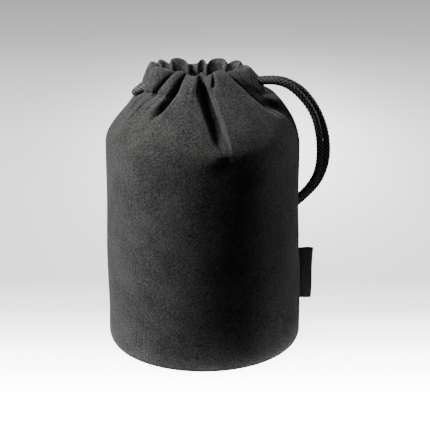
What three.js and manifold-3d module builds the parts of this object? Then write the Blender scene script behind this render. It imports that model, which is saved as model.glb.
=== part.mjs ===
// Soft drawstring pouch for a lens, standing upright with its mouth drawn shut.
// Millimetres, +Z up. The origin is the centre of the base's underside, -Y is the front,
// and +X is the side where the drawcord leaves and the label is sewn in.
import * as THREE from 'three';
import { mergeVertices } from 'three/addons/utils/BufferGeometryUtils.js';
import Module from 'manifold-3d';

const wasm = await Module();
wasm.setup();

// Driving dimensions of the body
const BODY_RADIUS = 50;
const SHOULDER_HEIGHT = 115;
const BASE_EDGE_RADIUS = 10;
const SUEDE = 1.0;
const PADDING = 2.0;
const LINING = 0.6;
const BASE_PADDING = 2.0;
const SEAM_TAPE_WIDTH = 6.4;
const SEAM_TAPE_THICKNESS = 1.4;
const BINDING_WIDTH = 3.6;
const BINDING_THICKNESS = 1.0;
const GAP = 0.3;

// Driving dimensions of the gathered collar
const COLLAR_HEIGHT = 35;
const CASING_HEIGHT = 13;
const NECK_HEIGHT = 27;
const PLEAT_CLOTH = 2.0;
const CASING_WALL = 0.7;
const VENT_WIDTH = 13;
const VENT_HEIGHT = 7;
const TUCK_WIDTH = 8.0;
const TUCK_SHARE = 0.3;
const TUCK_CLOTH = 1.5;
const TUCK_CLEARANCE = 1.0;
const TUCK_TILT_DEG = 18;
const LOBE_SWELL = 1.0;
const CREASE_FLOOR = 0.8;
const SLOPE_STEP = 2;
const SIDE_DEPTH = 2.6;
const FRONT_DEPTH = 6.0;

// Outline of the collar: height over the shoulder, then reach to the right, to the left, and to front and back.
const COLLAR_OUTLINE = [
  [0, 49.8, 49.7, 49.9],
  [3, 48.6, 48.0, 48.9],
  [7, 47.1, 45.4, 46.3],
  [12, 44.4, 41.4, 41.6],
  [16, 41.4, 38.1, 36.8],
  [20, 37.7, 34.8, 31.6],
  [23, 35.0, 32.2, 27.9],
  [26, 32.5, 30.6, 24.8],
  [29, 30.0, 29.2, 21.8],
  [32, 27.6, 28.0, 19.1],
  [35, 26.2, 26.8, 16.8],
];

// One crease of the gathered cloth: its angles on the flat cloth, at the casing and at the rim, its depth, the
// height over the shoulder where it dies out, over how much, and the widths of the rounded edges beside it.
const crease = (angles, depth, low, fade = 10, before = 3.5, after = 3.5) => (
  { angles, depth, low, fade, before, after }
);
const CREASES = [
  crease([19, 40, 57], 7.0, 11, 7, 7.0, 3.0),
  crease([80, 88, 91], 8.0, 1, 10, 3.4, 3.0),
  crease([136, 117, 111], 7.5, 13, 8, 3.0, 3.6),
  crease([155, 139, 127], 6.5, 21, 6, 3.0, 4.0),
  crease([204, 203, 203], 4.5, 13),
  crease([226, 225, 225], 7.0, 4),
  crease([248, 251, 252], 6.0, 10),
  crease([259, 263, 264], 5.0, 16),
  crease([272, 275, 276], 7.0, 2),
  crease([316, 306, 305], 7.0, 4),
  crease([338, 331, 330], 5.0, 12),
];

// Edges of the pleats at the shoulder, the casing and the rim, in degrees from +X round by the front. The vents
// are at 0 and 180.
const FRONT_EDGES_DEG = [[0, 0, 0], [40, 40, 57], [80, 88, 91], [124, 117, 111], [180, 180, 180]];
const BACK_EDGES_DEG = [[180, 180, 180], [226, 225, 225], [272, 275, 276], [316, 306, 305], [360, 360, 360]];
// Each pleat's edge with a tuck that runs under its neighbour: 1 for its last edge, -1 for its first.
const TUCK_EDGES = [1, 1, 0, -1];

// Driving dimensions of the drawcord
const CORD_DIAMETER = 3.4;
const CORD_CLEARANCE = 0.3;
const CORD_SIDES = 8;
const KNOT_RADIUS = 4.5;
const KNOT_LENGTH = 10;
const KNOT_CENTRE = [-25.5, 58.6, 4.9];

// Driving dimensions of the label
const LABEL_BOTTOM = 24;
const LABEL_HEIGHT = 28;
const LABEL_REACH = 7;
const LABEL_LOOP = 2.2;
const RIBBON = 0.45;

// Free stretches of the drawcord, from the right-hand vent to the knot, as chosen points.
const FRONT_TAIL = [
  [24.2, -3.8, 142.8], [24.6, -2.8, 142.8], [26.3, -2.05, 142.8], [29.2, -1.9, 142.9],
  [32.8, -1.9, 143.2], [36.8, -1.9, 143], [40.8, -1.7, 142], [44.8, -1.4, 140], [49.2, -1, 136.2],
  [52.8, -0.4, 132], [55.9, 0.1, 127.3], [58.1, 0.7, 122.2], [59.6, 1.5, 116.5], [60.6, 2.6, 110.3],
  [61, 3.9, 103.5], [60.8, 5.6, 97], [59.7, 7.8, 90.6], [57.4, 11.2, 84.4], [54.4, 15.4, 78.8],
  [51, 20, 73.8], [47.1, 25.6, 69], [42.4, 32.4, 63.8], [36.6, 38.8, 57.8], [30.8, 44.1, 50.8],
  [26, 47.7, 42.6], [22.5, 50, 33.8], [20, 51.7, 25.6], [18.1, 53.2, 17.8], [16.4, 54.3, 11.2],
  [13.4, 55.3, 5.7], [7.8, 56.3, 2.9], [0, 56.7, 2.2], [-8, 56.7, 2.2], [-14.5, 56.7, 3],
  [-19.6, 56.7, 4.4],
];
const BACK_TAIL = [
  [24.2, 3.8, 142.8], [24.6, 2.8, 142.8], [26.3, 2.05, 142.8], [29.2, 1.9, 142.9], [32.8, 1.9, 143.2],
  [36.8, 1.9, 143.2], [41.2, 2, 142.6], [46, 2.2, 140.6], [51, 2.6, 137.2], [55.5, 3, 132],
  [59.2, 3.3, 126.1], [62, 3.8, 119.5], [63.8, 4.6, 112.7], [64.6, 5.8, 105.7], [64.5, 7.6, 98.6],
  [63.2, 10.6, 91.4], [60.9, 14.8, 84.4], [57.6, 19.4, 78.2], [53.8, 24, 72.6], [50, 29.1, 67.2],
  [45.2, 34.4, 61.3], [39.9, 39.3, 54.8], [34.4, 43.4, 47.6], [29.9, 46.9, 39.4], [26.4, 49.3, 31],
  [23.8, 51.2, 23], [21.9, 53.4, 15.8], [19.8, 56, 9.4], [15.1, 59.1, 4.7], [7.8, 60.4, 2.7],
  [0, 60.5, 2.2], [-8, 60.5, 2.2], [-14.5, 60.5, 3], [-19.6, 60.5, 4.4],
];
const FIRST_END = [[-31.5, 56.7, 4.6], [-34.9, 56.3, 3.3], [-40.5, 55.4, 2.2]];
const SECOND_END = [[-31.5, 60.5, 4.6], [-34.9, 60.9, 3.3], [-40.5, 61.8, 2.2]];

// Sizes worked out from the driving dimensions
const CASING_BASE = COLLAR_HEIGHT - CASING_HEIGHT;
const CASING_THICKNESS = CORD_DIAMETER + 2 * (CORD_CLEARANCE + CASING_WALL);
const CASING_START = CASING_BASE - 3;
const CASING_SPAN = CASING_HEIGHT + 4;
const CORD_HEIGHT = CASING_START + CASING_SPAN / 2;
const PANEL_INNER = BODY_RADIUS - SUEDE;
const PADDING_OUTER = PANEL_INNER - GAP;
const PADDING_INNER = PADDING_OUTER - PADDING;
const LINING_OUTER = PADDING_INNER - GAP;
const LINING_INNER = LINING_OUTER - LINING;
const BASE_RADIUS = BODY_RADIUS - BASE_EDGE_RADIUS;
const BINDING_LOW = SUEDE + GAP;
const BASE_PADDING_LOW = BINDING_LOW + BINDING_THICKNESS + GAP;
const LINING_BASE_LOW = BASE_PADDING_LOW + BASE_PADDING + GAP;
const LINING_WALL_LOW = LINING_BASE_LOW + LINING + GAP;
const INNER_TOP = SHOULDER_HEIGHT - GAP;
const PLEAT_LOW = SHOULDER_HEIGHT + GAP;

const ROUND_STEPS = 64;
const ARCH_STEPS = 14;
const TUCK_STEPS = 2;

const finish = (color, roughness) => new THREE.MeshStandardMaterial({ color, roughness, metalness: 0 });
const SUEDE_LOOK = [0x2b2b2d, 0.95];
const PADDING_LOOK = [0x4a4a4c, 1.0];
const LINING_LOOK = [0x1e1e20, 0.9];
const TAPE_LOOK = [0x161617, 0.9];
const CORD_LOOK = [0x0f0f10, 0.8];
const LABEL_LOOK = [0x111112, 0.7];

const radians = THREE.MathUtils.degToRad;
const { clamp, lerp } = THREE.MathUtils;
const smooth = (x) => THREE.MathUtils.smoothstep(x, 0, 1);
// Rise from 0 to 1 that is upright at its foot and level at its top.
const rounded = (x) => Math.sqrt(1 - (1 - clamp(x, 0, 1)) ** 2);

// A closed geometry that holds positions only, with its corners shared and its faces outwards.
function closed(geometry) {
  const bare = geometry.clone();
  bare.deleteAttribute('normal');
  bare.deleteAttribute('uv');
  const merged = mergeVertices(bare, 1e-4);
  const index = Array.from(merged.index.array);
  const at = merged.attributes.position;
  const [a, b, c] = [new THREE.Vector3(), new THREE.Vector3(), new THREE.Vector3()];
  const kept = [];
  let volume = 0;
  for (let i = 0; i < index.length; i += 3) {
    const [p, q, r] = index.slice(i, i + 3);
    if (p === q || q === r || r === p) continue;
    a.fromBufferAttribute(at, p);
    b.fromBufferAttribute(at, q);
    c.fromBufferAttribute(at, r);
    volume += a.dot(b.clone().cross(c));
    kept.push([p, q, r]);
  }
  merged.setIndex(kept.flatMap(([p, q, r]) => (volume < 0 ? [p, r, q] : [p, q, r])));
  return merged;
}

function solid(geometry) {
  const shape = closed(geometry);
  return new wasm.Manifold(new wasm.Mesh({
    numProp: 3,
    vertProperties: new Float32Array(shape.attributes.position.array),
    triVerts: new Uint32Array(shape.index.array),
  }));
}

function geometryOf(manifold) {
  const mesh = manifold.getMesh();
  const geometry = new THREE.BufferGeometry();
  geometry.setAttribute('position', new THREE.BufferAttribute(new Float32Array(mesh.vertProperties), 3));
  geometry.setIndex(new THREE.BufferAttribute(new Uint32Array(mesh.triVerts), 1));
  return geometry;
}

function named(name, geometry, [color, roughness]) {
  const mesh = new THREE.Mesh(geometry, finish(color, roughness));
  mesh.name = name;
  return mesh;
}

// Body of revolution about Z from [radius, height] pairs.
function turned(profile) {
  const points = profile.map(([radius, height]) => new THREE.Vector2(radius, height));
  return closed(new THREE.LatheGeometry(points, ROUND_STEPS).rotateX(Math.PI / 2));
}

const ring = (inner, outer, low, high) => turned([
  [inner, low], [outer, low], [outer, high], [inner, high], [inner, low],
]);
const disc = (radius, low, high) => turned([[0, low], [radius, low], [radius, high], [0, high]]);

// Box from corner to corner.
function block(low, high) {
  const size = high.map((value, i) => value - low[i]);
  const middle = high.map((value, i) => (value + low[i]) / 2);
  return new THREE.BoxGeometry(...size).translate(...middle);
}

// Keeps the front (side -1) or back (side 1) of a round piece, up to the given distance from the seams.
function halfOf(geometry, side, seam) {
  const reach = 2 * BODY_RADIUS;
  const [low, high] = side < 0 ? [-reach, -seam] : [seam, reach];
  const keep = block([-reach, low, -reach], [reach, high, SHOULDER_HEIGHT + reach]);
  return geometryOf(solid(geometry).intersect(solid(keep)));
}

// Outer suede wall, from the base seam round the soft bottom edge to the shoulder.
function panelProfile() {
  const arc = [0, 18, 36, 54, 72, 90].map(radians);
  const edge = (radius) => arc.map((angle) => [
    BASE_RADIUS + radius * Math.sin(angle),
    BASE_EDGE_RADIUS - radius * Math.cos(angle),
  ]);
  const outside = [...edge(BASE_EDGE_RADIUS), [BODY_RADIUS, SHOULDER_HEIGHT]];
  const inside = [...edge(BASE_EDGE_RADIUS - SUEDE), [PANEL_INNER, SHOULDER_HEIGHT]];
  return [...outside, ...inside.reverse(), outside[0]];
}

function bodyWalls() {
  const panel = turned(panelProfile());
  const padding = ring(PADDING_INNER, PADDING_OUTER, BASE_EDGE_RADIUS, INNER_TOP);
  const paddingSeam = SEAM_TAPE_WIDTH / 2 + GAP;
  return [
    named('front_panel', halfOf(panel, -1, GAP / 2), SUEDE_LOOK),
    named('back_panel', halfOf(panel, 1, GAP / 2), SUEDE_LOOK),
    named('front_padding', halfOf(padding, -1, paddingSeam), PADDING_LOOK),
    named('back_padding', halfOf(padding, 1, paddingSeam), PADDING_LOOK),
    named('lining_wall', ring(LINING_INNER, LINING_OUTER, LINING_WALL_LOW, INNER_TOP), LINING_LOOK),
  ];
}

function baseLayers() {
  const bindingOuter = BASE_RADIUS + BINDING_WIDTH / 2 - GAP;
  return [
    named('base_panel', disc(BASE_RADIUS - GAP, 0, SUEDE), SUEDE_LOOK),
    named('base_seam_binding', ring(
      bindingOuter - BINDING_WIDTH, bindingOuter, BINDING_LOW, BINDING_LOW + BINDING_THICKNESS,
    ), TAPE_LOOK),
    named('base_padding', disc(
      bindingOuter + GAP, BASE_PADDING_LOW, BASE_PADDING_LOW + BASE_PADDING,
    ), PADDING_LOOK),
    named('lining_base', disc(LINING_OUTER, LINING_BASE_LOW, LINING_BASE_LOW + LINING), LINING_LOOK),
  ];
}

// Turned-in seam allowance behind each side seam, between the two halves of the padding.
function seamTapes() {
  const middle = (PADDING_INNER + PADDING_OUTER) / 2;
  return [['left_seam_tape', -1], ['right_seam_tape', 1]].map(([name, side]) => {
    const tape = new THREE.BoxGeometry(
      SEAM_TAPE_THICKNESS, SEAM_TAPE_WIDTH, INNER_TOP - BASE_EDGE_RADIUS,
    );
    tape.translate(side * middle, 0, (INNER_TOP + BASE_EDGE_RADIUS) / 2);
    return named(name, closed(tape), TAPE_LOOK);
  });
}

// Angle, in degrees, of a line given by its angles at the shoulder, the casing and the rim.
function lineAt([shoulder, casing, rim], height) {
  const up = clamp((height + 3) / (NECK_HEIGHT + 3), 0, 1);
  const over = clamp((height - NECK_HEIGHT) / (COLLAR_HEIGHT - NECK_HEIGHT), 0, 1);
  return shoulder + (casing - shoulder) * up ** 2 + (rim - casing) * over;
}

// Place on the smooth collar at an angle, with the directions along and out of it.
function neckAt(angle, height) {
  const found = COLLAR_OUTLINE.findIndex(([level]) => level >= height);
  const above = Math.max(found, 1);
  const [low, high] = [COLLAR_OUTLINE[above - 1], COLLAR_OUTLINE[above]];
  const share = (height - low[0]) / (high[0] - low[0]);
  const [, right, left, front] = low.map((value, i) => lerp(value, high[i], share));
  const side = lerp(left, right, (1 + Math.cos(angle)) / 2);
  const point = new THREE.Vector2(side * Math.cos(angle), -front * Math.sin(angle));
  const along = new THREE.Vector2(-side * Math.sin(angle), -front * Math.cos(angle));
  const around = along.length();
  along.normalize();
  return { point, along, around, outwards: new THREE.Vector2(-along.y, along.x) };
}

const deepest = (angle) => lerp(SIDE_DEPTH, FRONT_DEPTH, Math.sin(angle) ** 2);

// Depth of the creases at an angle.
function sinkAt(angle, height) {
  const { around } = neckAt(angle, height);
  const total = CREASES.reduce((sum, { angles, depth, low, fade, before, after }) => {
    const turn = angle - radians(lineAt(angles, height));
    const away = Math.abs(turn) * around - CREASE_FLOOR;
    const rise = rounded(away / (turn < 0 ? before : after));
    return sum + (depth * smooth((height - low) / fade) * (1 - rise)) ** 3;
  }, 0);
  return Math.min(Math.cbrt(total), deepest(angle));
}

// Thickness of a pleat across the slope of the neck, which swells round the cord in the casing.
function clothAt(angle, height) {
  const share = clamp((height - CASING_START) / CASING_SPAN, 0, 1);
  const cloth = PLEAT_CLOTH + (CASING_THICKNESS - PLEAT_CLOTH) * Math.sin(Math.PI * share);
  const [below, above] = [-SLOPE_STEP, SLOPE_STEP].map((step) => (
    neckAt(angle, clamp(height + step, 0, COLLAR_HEIGHT)).point
  ));
  return cloth * Math.hypot(1, below.distanceTo(above) / (2 * SLOPE_STEP));
}

function outerAt(angle, height) {
  const { point, outwards } = neckAt(angle, height);
  const sink = sinkAt(angle, height);
  const swell = LOBE_SWELL * smooth((height - 8) / 12) * (1 - sink / deepest(angle));
  return point.addScaledVector(outwards, swell - sink);
}

// Distance from the smooth collar in to the inner face, which runs straight past the creases in the casing.
function innerDepth(angle, height) {
  const straight = smooth((height - 12) / 8);
  return lerp(sinkAt(angle, height), deepest(angle), straight) + clothAt(angle, height);
}

function inwardsAt(angle, height, distance) {
  const { point, outwards } = neckAt(angle, height);
  return point.addScaledVector(outwards, -distance);
}

const isVent = ([shoulder]) => shoulder % 180 === 0;

// Half the width of the slit at a pleat's edge: a crease, or a seam that opens to a vent under the casing.
function halfSlit(edge, height) {
  if (!isVent(edge)) return GAP / 2;
  return lerp(GAP / 2, VENT_WIDTH / 2, smooth((height - CASING_BASE + VENT_HEIGHT) / VENT_HEIGHT));
}

// Angles of a pleat's lines at a height over the shoulder, closer together towards its edges.
function archAngles([from, to], height) {
  const [first, last] = [from, to].map((edge) => radians(lineAt(edge, height)));
  const start = first + halfSlit(from, height) / neckAt(first, height).around;
  const end = last - halfSlit(to, height) / neckAt(last, height).around;
  return Array.from({ length: ARCH_STEPS + 1 }, (_, i) => {
    const share = i / ARCH_STEPS;
    return lerp(start, end, share - 0.1 * Math.sin(2 * Math.PI * share));
  });
}

// Outer and inner lines of a pleat, with the tuck that runs under the neighbour at one of its edges.
function pleatSection(sideEdges, place, height) {
  const angles = archAngles(sideEdges.slice(place, place + 2), height);
  const outer = angles.map((angle) => outerAt(angle, height));
  const inner = angles.map((angle) => inwardsAt(angle, height, innerDepth(angle, height)));
  const tuckEdge = TUCK_EDGES[place];
  if (tuckEdge === 0) return { outer, inner };
  if (tuckEdge < 0) [outer, inner].forEach((line) => line.reverse());
  const angle = tuckEdge < 0 ? angles[0] : angles.at(-1);
  const { along: onwards, around, outwards } = neckAt(angle, height);
  onwards.multiplyScalar(tuckEdge);
  const straightIn = outwards.clone().negate();
  const root = inwardsAt(angle, height, innerDepth(angle, height) + TUCK_CLEARANCE);
  const tilt = -tuckEdge * radians(TUCK_TILT_DEG);
  const along = onwards.clone().rotateAround(new THREE.Vector2(), tilt);
  const inwards = straightIn.clone().rotateAround(new THREE.Vector2(), tilt);
  const neighbour = radians(lineAt(sideEdges[tuckEdge < 0 ? place - 1 : place + 2], height));
  const room = TUCK_SHARE * Math.abs(neighbour - angle) * around;
  const width = Math.min(room, TUCK_WIDTH) * Math.min(1, 0.12 + height / CASING_BASE);
  const heel = root.clone().addScaledVector(inwards, TUCK_CLOTH).addScaledVector(along, -TUCK_CLOTH);
  inner[inner.length - 1] = heel;
  for (let i = 0; i <= TUCK_STEPS; i += 1) {
    const point = root.clone().addScaledVector(along, (width * i) / TUCK_STEPS);
    outer.push(point);
    inner.push(point.clone().addScaledVector(inwards, TUCK_CLOTH));
  }
  return { outer, inner };
}

const placed = (point, height) => [point.x, point.y, PLEAT_LOW + height];

// Pleat of the collar, lofted through its sections from the shoulder to the rim.
function pleatSolid(sideEdges, place) {
  const heights = COLLAR_OUTLINE.map(([height]) => height);
  const loops = heights.map((height) => {
    const { outer, inner } = pleatSection(sideEdges, place, height);
    return [...outer, ...inner.reverse()].map((point) => placed(point, height));
  });
  const count = loops[0].length;
  const index = [];
  for (let level = 0; level + 1 < loops.length; level += 1) {
    for (let i = 0; i < count; i += 1) {
      const next = (i + 1) % count;
      const [a, b] = [level * count + i, level * count + next];
      index.push(a, b, b + count, a, b + count, a + count);
    }
  }
  const top = (loops.length - 1) * count;
  for (let i = 0; i + 1 < count / 2; i += 1) {
    const [a, b, c, d] = [i, i + 1, count - 2 - i, count - 1 - i];
    index.push(a, c, b, a, d, c, top + a, top + b, top + c, top + a, top + c, top + d);
  }
  const geometry = new THREE.BufferGeometry();
  geometry.setAttribute('position', new THREE.Float32BufferAttribute(loops.flat(2), 3));
  geometry.setIndex(index);
  return solid(geometry);
}

// Round tube of the given diameter through points.
function tube(points, diameter, steps) {
  const section = new THREE.Shape();
  for (let i = 0; i < CORD_SIDES; i += 1) {
    const angle = (2 * Math.PI * (i + 0.5)) / CORD_SIDES;
    const [x, y] = [(diameter / 2) * Math.cos(angle), (diameter / 2) * Math.sin(angle)];
    if (i === 0) section.moveTo(x, y);
    else section.lineTo(x, y);
  }
  section.closePath();
  const path = new THREE.CatmullRomCurve3(points.map((point) => new THREE.Vector3(...point)));
  return new THREE.ExtrudeGeometry(section, { steps, bevelEnabled: false, extrudePath: path });
}

// Middle line of the cord in a pleat's casing.
function casingLine(edges) {
  return archAngles(edges, CORD_HEIGHT).map((angle) => {
    const depth = deepest(angle) + clothAt(angle, CORD_HEIGHT) / 2;
    return placed(inwardsAt(angle, CORD_HEIGHT, depth), CORD_HEIGHT);
  });
}

// The line run on straight past both ends by a length.
function runOn(line, length) {
  const past = (end, before) => {
    const tip = new THREE.Vector3(...end);
    const step = tip.clone().sub(new THREE.Vector3(...before)).setLength(length);
    return tip.add(step).toArray();
  };
  return [past(line[0], line[1]), ...line, past(line.at(-1), line.at(-2))];
}

function collarSide(side, sideEdges) {
  return TUCK_EDGES.flatMap((_, i) => {
    const edges = sideEdges.slice(i, i + 2);
    const line = casingLine(edges);
    const tunnel = tube(runOn(line, CASING_THICKNESS), CORD_DIAMETER + 2 * CORD_CLEARANCE, 14);
    const pleat = pleatSolid(sideEdges, i).subtract(solid(tunnel));
    const cord = tube(cordInCasing(line, edges[1]), CORD_DIAMETER, 10);
    return [
      named(`${side}_pleat_${i + 1}`, geometryOf(pleat), SUEDE_LOOK),
      named(`drawcord_${side}_${i + 1}`, closed(cord), CORD_LOOK),
    ];
  });
}

// The cord of the last front pleat runs on over the left-hand vent to the back casing.
function cordInCasing(line, [last]) {
  if (last !== 180) return line;
  const [x, y, z] = line.at(-1);
  return [...line, [x, 0, z], [x, -y - 4 * GAP, z]];
}

function freeCord() {
  const knot = turned([
    [0, -KNOT_LENGTH / 2], [0.85 * KNOT_RADIUS, -KNOT_LENGTH / 2], [KNOT_RADIUS, -KNOT_LENGTH / 4],
    [KNOT_RADIUS, KNOT_LENGTH / 4], [0.85 * KNOT_RADIUS, KNOT_LENGTH / 2], [0, KNOT_LENGTH / 2],
  ]).rotateY(Math.PI / 2).translate(...KNOT_CENTRE);
  return [
    named('drawcord_tail_front', closed(tube(FRONT_TAIL, CORD_DIAMETER, 36)), CORD_LOOK),
    named('drawcord_tail_back', closed(tube(BACK_TAIL, CORD_DIAMETER, 36)), CORD_LOOK),
    named('drawcord_knot', closed(knot), CORD_LOOK),
    named('drawcord_end_1', closed(tube(FIRST_END, CORD_DIAMETER, 3)), CORD_LOOK),
    named('drawcord_end_2', closed(tube(SECOND_END, CORD_DIAMETER, 3)), CORD_LOOK),
  ];
}

// Ribbon folded to a loop, with its two ends sewn together into the right-hand side seam.
function label() {
  const root = BODY_RADIUS + GAP;
  const tip = root + LABEL_REACH;
  const half = LABEL_LOOP / 2;
  const loopOf = (inset) => {
    const radius = half - inset;
    const centre = tip - half;
    const fold = [-90, -60, -30, 0, 30, 60, 90].map(radians);
    return fold.map((angle) => new THREE.Vector2(
      centre + radius * Math.cos(angle), radius * Math.sin(angle),
    ));
  };
  const outline = new THREE.Shape([
    new THREE.Vector2(root, -RIBBON), ...loopOf(0), new THREE.Vector2(root, RIBBON),
  ]);
  const inside = [new THREE.Vector2(root + 1.2, 0), ...loopOf(RIBBON)];
  outline.holes.push(new THREE.Path(inside));
  const ribbon = new THREE.ExtrudeGeometry(outline, { depth: LABEL_HEIGHT, bevelEnabled: false });
  return named('label', closed(ribbon.translate(0, 0, LABEL_BOTTOM)), LABEL_LOOK);
}

const pouch = new THREE.Group();
pouch.name = 'lens_pouch';
pouch.add(
  ...bodyWalls(),
  ...baseLayers(),
  ...seamTapes(),
  ...collarSide('front', FRONT_EDGES_DEG),
  ...collarSide('back', BACK_EDGES_DEG),
  ...freeCord(),
  label(),
);

export default pouch;
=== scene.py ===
"""Looks of a soft suede drawstring pouch, standing upright with its mouth drawn shut.

Metres, +Z up. The front of the pouch is towards -Y, and the cord and the label are at +X.
Angles round the pouch are in degrees from +X by the front. Shapes are worked out in millimetres
and become metres where a mesh is made.
"""
import logging
import math
from dataclasses import dataclass
from enum import Enum
from typing import Any, Sequence

import bpy
import numpy as np
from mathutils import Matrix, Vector


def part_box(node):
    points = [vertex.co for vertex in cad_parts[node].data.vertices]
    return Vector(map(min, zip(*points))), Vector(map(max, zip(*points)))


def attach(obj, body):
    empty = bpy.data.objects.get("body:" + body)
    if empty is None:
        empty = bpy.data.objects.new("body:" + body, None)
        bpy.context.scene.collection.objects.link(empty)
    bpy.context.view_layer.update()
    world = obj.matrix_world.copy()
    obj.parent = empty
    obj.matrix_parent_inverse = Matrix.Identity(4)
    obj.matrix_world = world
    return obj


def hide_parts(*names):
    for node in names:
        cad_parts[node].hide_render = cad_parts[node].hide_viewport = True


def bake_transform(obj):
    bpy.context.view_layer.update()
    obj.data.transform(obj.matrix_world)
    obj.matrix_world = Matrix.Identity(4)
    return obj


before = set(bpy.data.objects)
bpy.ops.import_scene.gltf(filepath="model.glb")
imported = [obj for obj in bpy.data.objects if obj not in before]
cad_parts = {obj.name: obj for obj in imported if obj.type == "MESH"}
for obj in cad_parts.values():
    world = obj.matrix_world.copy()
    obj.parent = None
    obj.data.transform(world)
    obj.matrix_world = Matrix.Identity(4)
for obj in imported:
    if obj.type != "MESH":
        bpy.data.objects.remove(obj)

LOG = logging.getLogger("pouch")
MM = 0.001
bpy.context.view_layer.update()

Face = tuple[int, ...]
Pair = tuple[float, float]
Place = tuple[float, float, float]
Colour = tuple[float, float, float, float]


class Slot(Enum):
    """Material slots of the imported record."""

    SUEDE = "suede"
    PADDING = "padding"
    LINING = "lining"
    TAPE = "seam_tape"
    CORD = "cord"
    RIBBON = "label_ribbon"


class Side(Enum):
    """Sides of the collar, as its bodies are named."""

    FRONT = "front"
    BACK = "back"


def smooth(value: np.ndarray) -> np.ndarray:
    """Smooth step from 0 to 1 as the value goes from 0 to 1."""
    clipped = np.clip(value, 0.0, 1.0)
    return clipped * clipped * (3.0 - 2.0 * clipped)


def quarter_round(value: np.ndarray) -> np.ndarray:
    """Rounded rise from 0 to 1, upright at its foot and level at its top."""
    return np.sqrt(np.clip(1.0 - (1.0 - np.clip(value, 0.0, 1.0)) ** 2, 0.0, 1.0))


def hump(distance: np.ndarray, width: float) -> np.ndarray:
    """Bell shape of height 1 over a distance."""
    return np.exp(-((distance / width) ** 2))


def grey(shade: float) -> Colour:
    """Opaque grey of a linear shade."""
    return shade, shade, shade, 1.0


def feed(tree: bpy.types.NodeTree, node: bpy.types.Node, inputs: dict[str | int, Any]) -> None:
    """Sets or links inputs of a node.

    Args:
        tree: the tree that holds the node.
        node: the node.
        inputs: value of each input, or the socket that is linked to it, by name or number.
    """
    for key, value in inputs.items():
        if isinstance(value, bpy.types.NodeSocket):
            tree.links.new(value, node.inputs[key])
        else:
            node.inputs[key].default_value = value


def add_node(
    tree: bpy.types.NodeTree, kind: str, inputs: dict[str | int, Any] | None = None, **settings: Any,
) -> bpy.types.Node:
    """Adds a node to a tree.

    Args:
        tree: the tree.
        kind: Blender's name for that kind of node.
        inputs: value or linked socket of each input, by name or number.
        **settings: properties of the node, which are set before its inputs.

    Returns:
        The new node.
    """
    node = tree.nodes.new(kind)
    for name, value in settings.items():
        setattr(node, name, value)
    feed(tree, node, inputs or {})
    return node


def new_material(name: str) -> tuple[bpy.types.Material, bpy.types.NodeTree, bpy.types.Node]:
    """Makes an empty node material.

    Args:
        name: name of the material.

    Returns:
        The material, its node tree and its shader node.
    """
    material = bpy.data.materials.new(name)
    material.use_nodes = True
    tree = material.node_tree
    return material, tree, tree.nodes["Principled BSDF"]


def mesh_object(
    name: str, points: np.ndarray, faces: Sequence[Face], material: bpy.types.Material,
) -> bpy.types.Object:
    """Makes a smooth-shaded mesh object in the scene.

    Args:
        name: name of the object.
        points: places in millimetres, one row each.
        faces: corners of each face, by number.
        material: finish of the whole piece.

    Returns:
        The new object, at the origin.
    """
    mesh = bpy.data.meshes.new(name)
    mesh.from_pydata((np.asarray(points) * MM).tolist(), [], [list(face) for face in faces])
    mesh.polygons.foreach_set("use_smooth", [True] * len(mesh.polygons))
    mesh.materials.append(material)
    mesh.update()
    piece = bpy.data.objects.new(name, mesh)
    bpy.context.scene.collection.objects.link(piece)
    return piece


def select_only(piece: bpy.types.Object) -> None:
    """Selects one object alone and makes it the active one.

    Args:
        piece: the object.
    """
    bpy.ops.object.select_all(action="DESELECT")
    piece.select_set(True)
    bpy.context.view_layer.objects.active = piece


def moved_faces(faces: Sequence[Face], start: int) -> list[Face]:
    """Faces whose points are numbered from a later start."""
    return [tuple(corner + start for corner in face) for face in faces]


def run_along(line: np.ndarray) -> np.ndarray:
    """Distance of each point of a line from its first point, along the line."""
    return np.concatenate([[0.0], np.cumsum(np.linalg.norm(np.diff(line, axis=0), axis=1))])


def sample(line: np.ndarray, run: np.ndarray, place: np.ndarray) -> np.ndarray:
    """Rows of a line at given places of its run."""
    return np.column_stack([np.interp(place, run, line[:, k]) for k in range(3)])


def catmull_rom(points: Sequence[Place], step: float) -> np.ndarray:
    """Smooth line through chosen points.

    Args:
        points: the chosen points, in millimetres.
        step: distance between the points of the line, in millimetres.

    Returns:
        Evenly spaced points on the line, one row each.
    """
    fine_steps = 24
    least_gap = 1e-6
    chosen = np.asarray(points, float)
    padded = np.vstack([2 * chosen[0] - chosen[1], chosen, 2 * chosen[-1] - chosen[-2]])
    dense = []
    for i in range(len(chosen) - 1):
        p0, p1, p2, p3 = padded[i:i + 4]
        knots = [0.0]
        for a, b in ((p0, p1), (p1, p2), (p2, p3)):
            knots.append(knots[-1] + max(np.linalg.norm(b - a), least_gap) ** 0.5)
        t0, t1, t2, t3 = knots
        t = np.linspace(t1, t2, fine_steps, endpoint=False)[:, None]
        a1 = (t1 - t) / (t1 - t0) * p0 + (t - t0) / (t1 - t0) * p1
        a2 = (t2 - t) / (t2 - t1) * p1 + (t - t1) / (t2 - t1) * p2
        a3 = (t3 - t) / (t3 - t2) * p2 + (t - t2) / (t3 - t2) * p3
        b1 = (t2 - t) / (t2 - t0) * a1 + (t - t0) / (t2 - t0) * a2
        b2 = (t3 - t) / (t3 - t1) * a2 + (t - t1) / (t3 - t1) * a3
        dense.append((t2 - t) / (t2 - t1) * b1 + (t - t1) / (t2 - t1) * b2)
    line = np.vstack(dense + [chosen[-1:]])
    run = run_along(line)
    count = max(2, int(round(run[-1] / step)) + 1)
    return sample(line, run, np.linspace(0.0, run[-1], count))


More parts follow.
